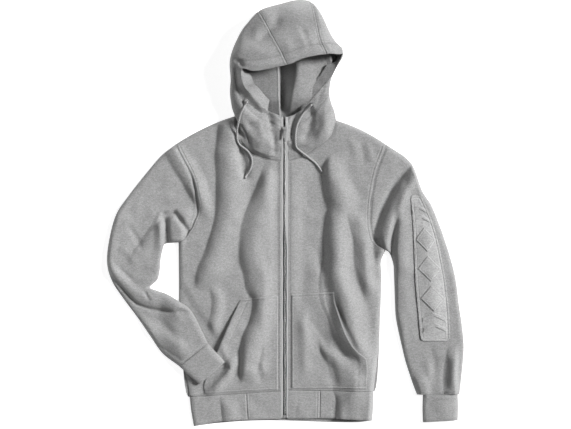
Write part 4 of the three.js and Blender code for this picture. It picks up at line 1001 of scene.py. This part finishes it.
def hem_top(x, v, ribbed):
    """Outer and inner face of the hem on the front, rolled at its sides"""
    x, v = pair(x, v)
    p = hem_place(x, v, HEM_FRONT)
    left, right = (hem_place(np.full(x.shape, HEM_SIDES[side][0]), v, HEM_FRONT)
                   for side in ("left", "right"))
    near = np.where((length_of(p - left) < length_of(p - right))[..., None], left, right)
    d = length_of(p - near)
    h = height(p[..., 0], p[..., 1], "b")
    under = np.maximum(h - CLEAR - RIB * slant(p[..., 0], p[..., 1], "b"), LEAST_HOLLOW)
    roof = LIE + h * roll_up(d)
    ceiling = RIB + 2 * CLEAR + under * roll_up(d)
    seam, edge = (length_of(p - hem_place(x, 0 * v + end, HEM_FRONT)) for end in (0, 1))
    join = np.minimum(np.abs(x - HEM_JOIN_LEFT), np.abs(x - HEM_JOIN_RIGHT))
    sink = sunk(seam, "hem seam") + sunk(edge, "hem edge") + sunk(join, "hem join")
    sink = sink + (-ribs(x) if ribbed else sunk(join, "hem end join") + sunk(seam, "hem end seam"))
    tuck = np.sign(ZIP_MID - near[..., 0]) * RIB * tuck_in(d)
    outer = lay(p, roof - np.minimum(sink, (roof - ceiling) * DEEPEST))
    return outer, np.stack([p[..., 0] + tuck, p[..., 1], ceiling], -1)


def make_hem():
    v = spaced([0, 0.08, 0.92, 1], [5, 12, 5])
    left, right = HEM_SIDES["left"][0], HEM_SIDES["right"][0]
    first, last = HEM_JOIN_LEFT - SEAM, HEM_JOIN_RIGHT + SEAM
    fine, coarse, beneath = 0.4, 0.62, 1.5
    to_side = [np.arange(first, left + ROLL, -coarse), np.arange(left + ROLL, left, -fine), [left]]
    from_side = [np.arange(right, right - ROLL, -fine), np.arange(right - ROLL, last, -coarse), [last]]
    tops = [hem_top(np.concatenate(spans)[None, :], v[:, None], True) for spans in (to_side, from_side)]
    p = hem_place(*pair(np.append(np.arange(left, right, beneath), right), v[:, None]), HEM_BACK)
    tuck, ground = np.zeros(p.shape[:2]), np.zeros(p.shape[:2])
    tuck[:, 0], tuck[:, -1] = RIB, -RIB
    below = lay(p, ground), np.stack([p[..., 0] + tuck, p[..., 1], ground + RIB], -1)
    grids = [np.concatenate([tops[0][face], below[face], tops[1][face]], 1) for face in (0, 1)]
    apart(grids, *FIRST_ROW)
    shell("hem_band_rib", grids, ribbing, "hem_band")
    ends = ("left", HEM_JOIN_LEFT + SEAM, ZIP_LEFT), ("right", ZIP_RIGHT, HEM_JOIN_RIGHT - SEAM)
    for side, first, last in ends:
        grids = hem_top(mix(first, last, eased(64, 0.05))[None, :], v[:, None], False)
        apart(grids, *FIRST_ROW)
        shell(f"hem_end_{side}_cloth", grids, fleece, f"hem_end_{side}",
              plan_uv=True)


make_hem()


# Pockets
def along_line(points, v):
    """Place at share v of a line's length"""
    run = run_along(points)
    return spline(run / run[-1], points, v)


def pocket_face(lines, v, u):
    """Top face of a pocket: from the zip's side (u 0) to the gaping opening (u 1), its sewn edges sunk"""
    v, u = pair(v, u)
    inner, outer = along_line(lines["zip"], v), along_line(lines["open"], v)
    p = mix(inner, outer, u[..., None])
    tall, row = length_of(lines["zip"][1] - lines["zip"][0]), length_of(outer - inner)
    edge = np.minimum(np.minimum(v, 1 - v) * tall, u * row)
    opening = (1 - u) * row
    gape = np.sin(math.pi * np.clip(v / lines["ends"], 0, 1)) ** lines["even"]
    gape = gape * lines["gape"] * np.exp(-(opening / lines["reach"]) ** 2)
    sink = sunk(edge, "pocket edge") + sunk(opening, "pocket opening")
    return lay(p, LIE + height(p[..., 0], p[..., 1], "b") + CLEAR + POCKET_WALL - sink + gape)


THINNEST = 0.4


def make_pocket(side, lines):
    outer = pocket_face(lines, eased(100, 0.03)[:, None], eased(72, 0.03)[None, :])
    top = outer[..., 2]
    low = LIE + height(outer[..., 0], outer[..., 1], "b") + CLEAR
    inner = lay(outer[..., :2], np.minimum(np.maximum(top - POCKET_WALL, low), top - THINNEST))
    shell(f"pocket_{side}_cloth", (outer, inner), fleece, f"pocket_{side}",
          plan_uv=True)


make_pocket("left", POCKET_LEFT)
make_pocket("right", POCKET_RIGHT)


# Patch on the straight sleeve
def patch_sides(y):
    return (spline(PATCH_SIDES["y"], PATCH_SIDES[name], y) for name in ("left", "right"))


def patch_face(y, u, up):
    """A face of the patch at y and share u of its width, with rounded corners and frayed edges"""
    y, u = pair(y, u)
    left, right = patch_sides(y)
    low, high = PATCH_SIDES["y"][0], PATCH_SIDES["y"][-1]
    end = np.minimum(y - low, high - y)
    corner = np.maximum(PATCH_CORNER - end, 0) / PATCH_CORNER
    inset = PATCH_CORNER * (1 - np.sqrt(np.maximum(1 - corner ** 2, 0)))
    x = mix(left + inset, right - inset, u)
    edge = np.minimum(np.minimum(u, 1 - u) * (right - left), end)
    z = CLOTH + CLEAR + height(x, y, "r") + CLEAR + up - sunk(edge, "patch edge")
    z = z + 0.3 * np.sin(y * 1.9 + 3 * np.sin(y * 0.31)) * np.exp(-edge / 1.2)
    x = x + 0.5 * np.sin(y * 1.3 + 2 * np.sin(y * 0.37)) * np.exp(-edge / 1.5)
    return np.stack([x, y, z], -1)


def make_patch():
    y = mix(PATCH_SIDES["y"][0], PATCH_SIDES["y"][-1], eased(170, 0.03))
    outer, inner = (patch_face(y[:, None], eased(60, 0.05)[None, :], up) for up in (PATCH_WALL, 0.1))
    inner[..., 2] = np.minimum(inner[..., 2], outer[..., 2] - THINNEST)
    shell("patch_cloth", (outer, inner), patch_cloth, "sleeve_patch",
          plan_uv=True)


make_patch()

# Shapes sewn onto the patch: kind, distance above the patch's lower end, half width and half height
PATCH_SHAPES = [("chevron", 32, 27, 13), ("chevron", 56, 27, 13), ("diamond", 100, 28, 30),
                ("diamond", 170, 27, 30), ("diamond", 238, 24, 28), ("chevron", 286, 20, 12),
                ("chevron", 308, 18, 11)]
CHEVRON_HALF = 4.5


def shape_face(kind, place, wide, tall, a, b):
    """A diamond is a square of a and b turned by half a right angle, and a chevron a band along |a|"""
    y = PATCH_SIDES["y"][0] + place
    if kind == "diamond":
        across, along, half = (a + b) / 2 * wide, (a - b) / 2 * tall, wide
    else:
        across, along, half = a * wide, tall * (0.5 - np.abs(a)) + b * CHEVRON_HALF, CHEVRON_HALF
    fray = 0.45 * np.sin(37 * a + 5 * b) * np.abs(b) ** 6 + 0.45 * np.sin(35 * b + 4 * a) * np.abs(a) ** 6
    y = y + along + fray
    left, right = patch_sides(y)
    edge = np.minimum(1 - np.abs(a), 1 - np.abs(b)) * half / 1.4
    up = PATCH_WALL + SHAPE_LIFT - sunk(edge, "shape edge")
    return patch_face(y, 0.5 + (across + fray) / (right - left), up)


def make_patch_shapes():
    points, faces, start = [], [], 0
    for shape in PATCH_SHAPES:
        a, b = (np.linspace(-1, 1, count) for count in (41, 41 if shape[0] == "diamond" else 13))
        outer = shape_face(*shape, *pair(a[:, None], b[None, :]))
        found, corners = shell_mesh(outer, outer - np.array([0, 0, SHAPE_WALL]))
        points.append(found)
        faces.append(corners + start)
        start += len(found)
    points, faces = np.concatenate(points), np.concatenate(faces)
    made = piece("patch_shapes", points, faces.tolist(), patch_cloth, points[:, :2])


make_patch_shapes()


# Hood
def hood_neck(s):
    """The neck end at a station: the front's neckline, the back neck, and the other front's neckline"""
    s = np.asarray(s, float)
    found = np.zeros(s.shape + (3,))
    on_left, on_right = s < FRONT_STATIONS, s > LAST_STATION - FRONT_STATIONS
    for body, here, t in ((BODY_LEFT, on_left, s), (BODY_RIGHT, on_right, LAST_STATION - s)):
        inner = body_ends(body, 2 + np.clip(t / FRONT_STATIONS, 0, 1))[0]
        point = body_ends(body, np.full(s.shape, 3.0))[0]
        z = LIE + height(inner[..., 0], inner[..., 1], "b") * roll_up(length_of(inner - point))
        found[here] = lay(inner, z)[here]
    back = ~(on_left | on_right)
    share = (s - FRONT_STATIONS) / (LAST_STATION - 2 * FRONT_STATIONS)
    neck = between(BACK_NECK, "x y", np.clip(share, 0, 1) * (len(BACK_NECK["x"]) - 1))
    beside_front = np.maximum(0, 1 - np.minimum(share, 1 - share) / NECK_BLEND)
    neck[..., 1] += NECK_POINT_GAP * beside_front
    found[back] = lay(neck, CLOTH / 2 * beside_front)[back]
    return found


def hood_face(s, t):
    """Outer face of the hood: a spline from the neck (t 0) through its four points to the rim (t 4)"""
    s, t = pair(s, t)
    values = np.stack([hood_neck(s)] + [spline(np.arange(len(HOOD)), HOOD[:, k], s) for k in range(4)])
    place = np.arange(5)
    before, after = np.maximum(place - 1, 0), np.minimum(place + 1, 4)
    slopes = (values[after] - values[before]) / (after - before).reshape((5,) + (1,) * (values.ndim - 1))
    i = np.clip(np.ceil(t).astype(int) - 1, 0, 3)
    pick = np.indices(s.shape)
    start, end = (i, *pick), (i + 1, *pick)
    p = hermite((t - i)[..., None], 1, values[start], values[end], slopes[start], slopes[end])
    p[..., 2] = np.maximum(p[..., 2], 0)
    return p


# Creases of the hood: height, reach in stations, reach along them, and a line of (station, t)
HOOD_CREASES = [
    (-5, 0.35, 0.5, (6.1, 2.2), (6.6, 3.0), (7.4, 3.4)),
    (3, 0.4, 0.5, (5.0, 1.4), (5.3, 2.3), (5.2, 3.2)),
    (-3, 0.3, 0.5, (4.4, 1.0), (4.6, 1.9), (4.4, 2.8)),
    (3, 0.35, 0.5, (8.3, 1.6), (8.1, 2.6), (8.4, 3.6)),
    (-3, 0.3, 0.5, (10.2, 1.2), (10.0, 2.2), (10.5, 3.2)),
    (3, 0.35, 0.5, (11.4, 1.1), (11.2, 2.2), (11.5, 3.2)),
    (-3, 0.3, 0.4, (2.3, 0.4), (2.4, 1.6), (2.1, 2.8)),
    (2.6, 0.3, 0.4, (1.4, 0.3), (1.5, 1.6), (1.3, 2.8)),
    (-3.4, 0.22, 0.4, (0.45, 0.2), (0.5, 1.6), (0.4, 3.0)),
    (-2.6, 0.3, 0.4, (15.3, 0.4), (15.4, 1.6), (15.2, 2.8)),
    (2.6, 0.3, 0.4, (14.4, 0.4), (14.5, 1.6), (14.3, 2.8)),
]


def hood_shape(s, t):
    """The outer face with its creases and ripple added along the normal, and the crown's added upwards"""
    s, t = pair(s, t)
    p = hood_face(s, t)
    step = 0.02
    up = hood_face(s, np.minimum(t + step, 4)) - hood_face(s, np.maximum(t - step, 0))
    along = hood_face(np.minimum(s + step, LAST_STATION), t) - hood_face(np.maximum(s - step, 0), t)
    n = unit(np.cross(up, along))
    move = np.zeros(s.shape)
    for rise, wide, long, *line in HOOD_CREASES:
        far, place = near_line([(a / wide, b / long) for a, b in line], s / wide, t / long)
        move += rise * np.exp(-far ** 2) * ends_fade(place, HOOD_CREASE_FADE)
    move += ripple(s * 45, t * 60, 7, 0.5)
    x, y, z = np.moveaxis(p, -1, 0)
    top = smooth(n[..., 2] / 0.5)
    crown = creases(x, y, "h") * top * smooth((z - 18) / 22) * smooth((y - 325) / 20)
    move += creases(x, y, "k") * top * smooth((z - 12) / 8) * smooth((352 - y) / 30)
    move *= smooth(t / 0.5) * smooth((z - 2) / 8)
    q = p + n * move[..., None]
    q[..., 2] = np.maximum(q[..., 2] + crown, 0)
    return q, n


HOOD_T = spaced([0, 0.12, 3.9, 4], [6, 86, 7])


def inner_fold(x, y):
    """Cloth under the opening: two puffed panels, with a bead of seam and a deep valley between them"""
    across = x - mix(-11.0, -8.0, (350 - y) / 120)
    wide = mix(18, 40, smooth((y - 235) / 105))
    deep = 36 * smooth((across + 4) / 5) * (1 - smooth((across - 5) / wide))
    bead = 1.6 * np.exp(-((across + 5) / 2.0) ** 2)
    panels = 40 - 10 * smooth((-4 - across) / 60) - 6 * smooth((across - 40) / 60)
    return (panels + bead - deep) * smooth((y - 222) / 52) * smooth((400 - y) / 20)


def flared(s, outer, inner, to_rim):
    """The hem leans out and shows its inner side: a band from the rim inward, then back under to the wall"""
    rim = np.gradient(hood_face(s, np.full(s.shape, 4.0))[:, :2], s, axis=0)
    way = unit(np.stack([-rim[:, 1], rim[:, 0]], -1))
    way *= np.sign(((HOOD_OPENING - outer[-1, :, :2]) * way).sum(-1))[:, None]
    left = smooth((s - 0.7) / 1.2) * smooth((5.6 - s) / 1.2)
    right = smooth((s - 11.2) / 1.0) * smooth((16.2 - s) / 1.2)
    lean = lay(way * FLARE, np.full(len(s), -FLARE_DROP))
    band = outer[-1] + lean * np.minimum(to_rim, HEM_WIDE)[..., None]
    back = smooth((to_rim - HEM_WIDE) / 14)[..., None]
    return mix(inner, mix(band, inner, back), (left + right)[:, None])


def make_hood(name, node, first, last, count, flat, area):
    s = mix(first, last, eased(count, 0.02))
    outer, n = hood_shape(s[None, :], HOOD_T[:, None])
    to_rim = np.cumsum(length_of(np.diff(outer, axis=0))[::-1], axis=0)[::-1]
    to_rim = np.concatenate([to_rim, np.zeros((1, len(s)))])
    thick = CLOTH + HEM_EXTRA * smooth((HEM_WIDE - to_rim) / 1.5)
    inner = outer - n * thick[..., None]
    inner[..., 2] = np.maximum(inner[..., 2], CLOTH)
    inner = flared(s, outer, inner, to_rim)
    inner[..., 2] += inner_fold(inner[..., 0], inner[..., 1]) * smooth((14 - outer[..., 2]) / 10)
    sink = sunk(length_of(outer - outer[0]), "hood neck") + sunk(to_rim, "hood hem")
    seams = [edge for edge, sewn in ((FIRST_COLUMN, first > 0), (LAST_COLUMN, last < LAST_STATION)) if sewn]
    for edge, _ in seams:
        sink = sink + sunk(length_of(outer - outer[edge][:, None]), "hood seam")
    outer = outer - n * np.minimum(sink, CLOTH * DEEPEST)[..., None]
    beyond = unit(outer[-1] - outer[-2]) * 0.9
    middle = (outer[-1] + inner[-1]) / 2
    grids = [np.concatenate([part, (mix(part[-1], middle, 0.45) + beyond)[None]]) for part in (outer, inner)]
    for edge in (FIRST_ROW, *seams):
        apart(grids, *edge)
    shell(name, grids, fleece, node)


make_hood("hood_left_cloth", "hood_side_left", 0.0, HOOD_SEAMS[0], 150, (0.42, 0.30), 0.067)
make_hood("hood_middle_cloth", "hood_centre", *HOOD_SEAMS, 50, (0.12, 0.46), 0.050)
make_hood("hood_right_cloth", "hood_side_right", HOOD_SEAMS[1], LAST_STATION, 150, (0.40, 0.30), 0.058)


# Zip
def strip(from_x, to_x, top, thick, low, high, rows, cols):
    """A strip along the zip, set against its rise; its edges are numbers or functions of y"""
    y = np.linspace(low, high, rows)[:, None]
    ends = [edge(y) if callable(edge) else edge for edge in (from_x, to_x)]
    x, y = np.broadcast_arrays(mix(*ends, np.linspace(0, 1, cols)[None, :]), y)
    z = zip_top(y)
    return np.stack([x, y, z + top], -1), np.stack([x, y, z + top - thick], -1)


def tape_reach(y, shut):
    """How far a tape's face runs in from the cloth: closer over the teeth in the zip's upper half"""
    return 4.4 + shut * smooth((y + 75) / 90) + 0.5 * np.sin(y / 31) * np.sin(y / 13)


for side, from_x, to_x in (("left", ZIP_LEFT + 0.1, lambda y: ZIP_LEFT + tape_reach(y, 0.6)),
                           ("right", lambda y: ZIP_RIGHT - tape_reach(y + 20, 3.0), ZIP_RIGHT - 0.1)):
    grids = strip(from_x, to_x, -0.5, 1.0, TAPE_LOW, TAPE_HIGH, 300, 7)
    shell(f"zip_tape_{side}_weave", grids, tape_cloth, f"zip_tape_{side}",
          plan_uv=True)

TOOTH_PITCH = 2.9
# A tooth from its head to its root: place across the zip, and half its width and half its height there
TOOTH = table("reach wide high", (-1.9, 0.5, 0.4), (-1.75, 0.62, 0.72), (-0.4, 0.62, 0.8), (0.5, 0.5, 0.72),
              (0.9, 0.25, 0.3))
TOOTH_SECTION = np.array([(-1, 0), (-0.8, 0.75), (-0.3, 1), (0.3, 1), (0.8, 0.75), (1, 0), (0.8, -0.75),
                          (-0.8, -0.75)]).T


def make_chain():
    """Two rows of interlocked teeth, each a rounded block that narrows to its head, on a woven core darkened
    with painted shade
    """
    points, faces, start = [], [], 0
    places, sides = len(TOOTH["reach"]), TOOTH_SECTION.shape[1]
    along, up = TOOTH_SECTION
    for side in (-1, 1):
        y = np.arange(CHAIN_LOW + 2 + (side > 0) * TOOTH_PITCH / 2, SLIDER_Y - 8, TOOTH_PITCH)
        across = np.broadcast_to(ZIP_MID - side * TOOTH["reach"][:, None], (places, sides))
        tooth = np.stack([across, TOOTH["wide"][:, None] * along * 1.05, TOOTH["high"][:, None] * up], -1)
        points.append((tooth + np.stack([0 * y, y, zip_top(y) - 0.4], -1)[:, None, None]).reshape(-1, 3))
        block = block_faces(places, sides)
        faces.append(repeated(block[:, ::-1] if side > 0 else block, len(y), places * sides, start))
        start += len(y) * places * sides
    points, faces = np.concatenate(points), np.concatenate(faces)
    piece("zip_teeth", points, faces.tolist(), nickel, points[:, :2], ["zip_chain"])
    points, faces = shell_mesh(*strip(-3.2, 4.2, -2.0, 0.8, CHAIN_LOW, CHAIN_HIGH, 240, 9))
    piece("zip_core", points, faces.tolist(), painted_shade_tape, points[:, :2])


make_chain()
for node, look in (("zip_slider", lacquered), ("zip_pull", lacquered), ("zip_stop", lacquered),
                   ("eyelet_left", aged_nickel), ("eyelet_right", aged_nickel)):
    mesh = frame["nodes"][node].data
    mesh.materials.clear()
    mesh.materials.append(look)


# Drawcords
def ground_tree():
    """A search tree of everything that a cord can lie on"""
    points, faces = [], []
    for made in bpy.context.scene.objects:
        lies_below = made.type == "MESH" and made.name.startswith(("front_", "hood_", "eyelet_"))
        if lies_below and not made.hide_render:
            start = len(points)
            co = np.empty(len(made.data.vertices) * 3, np.float32)
            made.data.vertices.foreach_get("co", co)
            points += (co.reshape(-1, 3) * 1000 - SHIFT).tolist()
            faces += [[v + start for v in face.vertices] for face in made.data.polygons]
    return BVHTree.FromPolygons(points, faces)


def rest_height(tree, x, y):
    """Height at which a cord's middle lies on what is below it"""
    around = [(0, 0)] + [(math.cos(k * math.pi / 4), math.sin(k * math.pi / 4)) for k in range(8)]
    tops = []
    for dx, dy in around:
        above = Vector((x + dx * CORD_RADIUS, y + dy * CORD_RADIUS, 300))
        hit = tree.ray_cast(above, Vector((0, 0, -1)))[0]
        tops.append(hit.z if hit else 0)
    return max(tops) + CORD_RADIUS + 0.15


def even(points, count):
    """Points at equal distances along a smooth curve through points"""
    points = np.array(points, float)
    run = run_along(points)
    fine = spline(run, points, np.linspace(0, run[-1], 600))
    run = run_along(fine)
    at = np.linspace(0, run[-1], count)
    return np.stack([np.interp(at, run, fine[:, k]) for k in range(points.shape[1])], -1)


def bridged(z, drop):
    """Heights raised so that they never fall by more than a drop from one place to the next, either way"""
    fall = drop * np.arange(len(z))
    z = np.maximum.accumulate(z + fall) - fall
    return np.maximum.accumulate((z - fall)[::-1])[::-1] + fall


def make_cord(side, route, tree):
    """A round tube along its route: up out of the eyelet, then down onto the cloth, its end rounded off"""
    station, t = EYELET_AT[side]
    centre, n = (array[0] for array in hood_shape(np.array([station]), np.array([t])))
    flat = even(route, 31)
    z = bridged(np.array([rest_height(tree, x, y) for x, y in flat]), 3.5)
    risen = centre + n * np.array([0.6, 3.2, 6.2])[:, None]
    line = even(np.concatenate([risen, np.column_stack([flat, z])]), 150)
    way = unit(np.gradient(line, axis=0))
    sideways = unit(np.cross(way, np.array([0.3, 0.2, 1.0])))
    up = np.cross(sideways, way)
    run = run_along(line)
    count = 20
    angle = np.linspace(0, 2 * math.pi, count, endpoint=False)
    strands = np.cos(4 * angle + run[:, None] * 1.6) * np.cos(4 * angle - run[:, None] * 1.6)
    close = np.minimum(1, 0.55 + (run[-1] - run) / 2.2)[:, None]
    around = sideways[:, None] * np.cos(angle)[:, None] + up[:, None] * np.sin(angle)[:, None]
    tube = line[:, None] + around * (CORD_RADIUS * (1 + 0.035 * strands) * close)[..., None]
    points = np.concatenate([tube.reshape(-1, 3), line[:1], line[-1:]])
    k, last = np.arange(count), (len(line) - 1) * count
    after = (k + 1) % count
    first_cap = np.stack([k, after, np.full(count, len(points) - 2)], -1)
    last_cap = np.stack([last + after, last + k, np.full(count, len(points) - 1)], -1)
    faces = quads(len(line), count, 0, True)[:, ::-1].tolist() + first_cap.tolist() + last_cap.tolist()
    uv = np.stack(np.meshgrid(angle * CORD_RADIUS, run, indexing="xy"), -1).reshape(-1, 2)
    uv = np.concatenate([uv, [(0, 0), (0, run[-1])]])
    made = piece(f"cord_{side}", points, faces, cord_braid, uv, [f"drawcord_{side}"])


tree = ground_tree()
make_cord("left", ROUTE_LEFT, tree)
make_cord("right", ROUTE_RIGHT, tree)


# Stitching
# Rows of stitches on a front: first and last row, how many places, and distances from the zip or the side
FRONT_STITCHES = [(0.01, 1.995, 500, "zip", (2.2, 8.5)), (1.03, 2.97, 220, "side", (2.4, 8.0)),
                  (2.02, 2.96, 160, "zip", (2.6,))]


def sew_fronts():
    lines = []
    for body in (BODY_LEFT, BODY_RIGHT):
        top = lambda r, u, body=body: front(body, r, u)[0]
        for first, last, count, edge, offs in FRONT_STITCHES:
            r = np.linspace(first, last, count)
            shares = [off / length_of(np.subtract(*body_ends(body, r))) for off in offs]
            lines += [on_grid(top, r, share if edge == "zip" else 1 - share) for share in shares]
        lines.append(on_grid(top, np.full(240, 0.012), np.linspace(0.02, 0.96, 240)))
    sew("stitching_fronts", lines)


def sew_pockets():
    lines = []
    for pocket in (POCKET_LEFT, POCKET_RIGHT):
        face = lambda v, u, pocket=pocket: pocket_face(pocket, v, u)
        v = np.linspace(0.01, 0.97, 220)
        row = length_of(along_line(pocket["open"], v) - along_line(pocket["zip"], v))
        lines += [on_grid(face, v, share) for share in (1 - 3.0 / row, 1 - 20.0 / row, 2.5 / row)]
        lines += [on_grid(face, np.full(150, end), np.linspace(0.02, 0.98, 150)) for end in (0.014, 0.986)]
    sew("stitching_pockets", lines)


def sew_hood():
    """A row along the hem at its width from the rim, and a row on each side of both panel seams"""
    face = lambda s, t: hood_shape(s, t)[0]
    s = np.linspace(0.15, LAST_STATION - 0.15, 900)
    rim, half, full = (face(s, np.full(s.shape, t)) for t in (4.0, 3.5, 3.0))
    near, far = length_of(half - rim), length_of(full - rim)
    t = 4 - np.where(near > HEM_WIDE, 0.5 * HEM_WIDE / near, 0.5 + 0.5 * (HEM_WIDE - near) / (far - near))
    lines = [on_grid(face, s, np.clip(t, 2.2, 3.9))]
    lines += [on_grid(face, np.full(300, seam + off), np.linspace(0.9, 3.98, 300))
              for seam in HOOD_SEAMS for off in (-0.09, 0.09)]
    sew("stitching_hood", lines)


def sew_patch():
    off = 3.0
    y = np.linspace(PATCH_SIDES["y"][0] + off, PATCH_SIDES["y"][-1] - off, 300)
    wide = spline(PATCH_SIDES["y"], PATCH_SIDES["right"] - PATCH_SIDES["left"], y)
    face = lambda y, u: patch_face(y, u, PATCH_WALL)
    lines = [on_grid(face, y, share) for share in (off / wide, 1 - off / wide)]
    lines += [on_grid(face, np.full(60, end), np.linspace(0.06, 0.94, 60)) for end in (y[0], y[-1])]
    sew("stitching_patch", lines)


sew_fronts()
sew_pockets()
sew_hood()
sew_patch()


# Floor, light and camera
FLOOR_HALF, FLOOR_LEVEL = 9.0, -0.0005


def make_stage():
    corners = [(-FLOOR_HALF, -FLOOR_HALF, 0), (FLOOR_HALF, -FLOOR_HALF, 0), (FLOOR_HALF, FLOOR_HALF, 0),
               (-FLOOR_HALF, FLOOR_HALF, 0)]
    mesh = bpy.data.meshes.new("floor")
    mesh.from_pydata(corners, [], [(0, 1, 2, 3)])
    mesh.materials.append(plain_floor())
    floor = bpy.data.objects.new("floor", mesh)
    bpy.context.scene.collection.objects.link(floor)
    floor.location.z = FLOOR_LEVEL
    world = bpy.data.worlds.new("studio")
    bpy.context.scene.world = world
    world.use_nodes = True
    backdrop = world.node_tree.nodes["Background"]
    backdrop.inputs["Color"].default_value = (1.0, 1.0, 1.0, 1)
    backdrop.inputs["Strength"].default_value = 0.16


def make_lamp(name, around, above, spread, strength):
    """A far soft light from a compass angle around and an angle above the floor, in degrees"""
    data = bpy.data.lights.new(name, "SUN")
    data.angle, data.energy = math.radians(spread), strength
    around, above = math.radians(around), math.radians(above)
    place = Vector((math.cos(above) * math.cos(around), math.cos(above) * math.sin(around), math.sin(above)))
    made = bpy.data.objects.new(name, data)
    made.location = place * 3
    made.rotation_euler = (-place).to_track_quat("-Z", "Y").to_euler()
    bpy.context.scene.collection.objects.link(made)


# The photograph's width and height, its millimetres to a pixel, and the pixel over the middle of the table
PHOTO_WIDE, PHOTO_TALL, SCALE, MIDDLE = 571, 429, 2.35, (284.5, 213.5)
CAMERA_HEIGHT, SENSOR = 6.0, 36


def make_camera():
    data = bpy.data.cameras.new("camera")
    data.sensor_width = SENSOR
    data.lens = SENSOR * CAMERA_HEIGHT / (PHOTO_WIDE * SCALE / 1000)
    data.clip_end = 50
    made = bpy.data.objects.new("camera", data)
    x, y = (PHOTO_WIDE / 2 - MIDDLE[0]) * SCALE, (MIDDLE[1] - PHOTO_TALL / 2) * SCALE
    made.location = ((x + SHIFT[0]) / 1000, (y + SHIFT[1]) / 1000, CAMERA_HEIGHT)
    bpy.context.scene.collection.objects.link(made)
    bpy.context.scene.camera = made


make_stage()
make_lamp("key", 18, 36, 16, 5.9)
make_lamp("fill", 150, 40, 60, 0.55)
make_camera()
bpy.context.scene.view_settings.view_transform = "Standard"
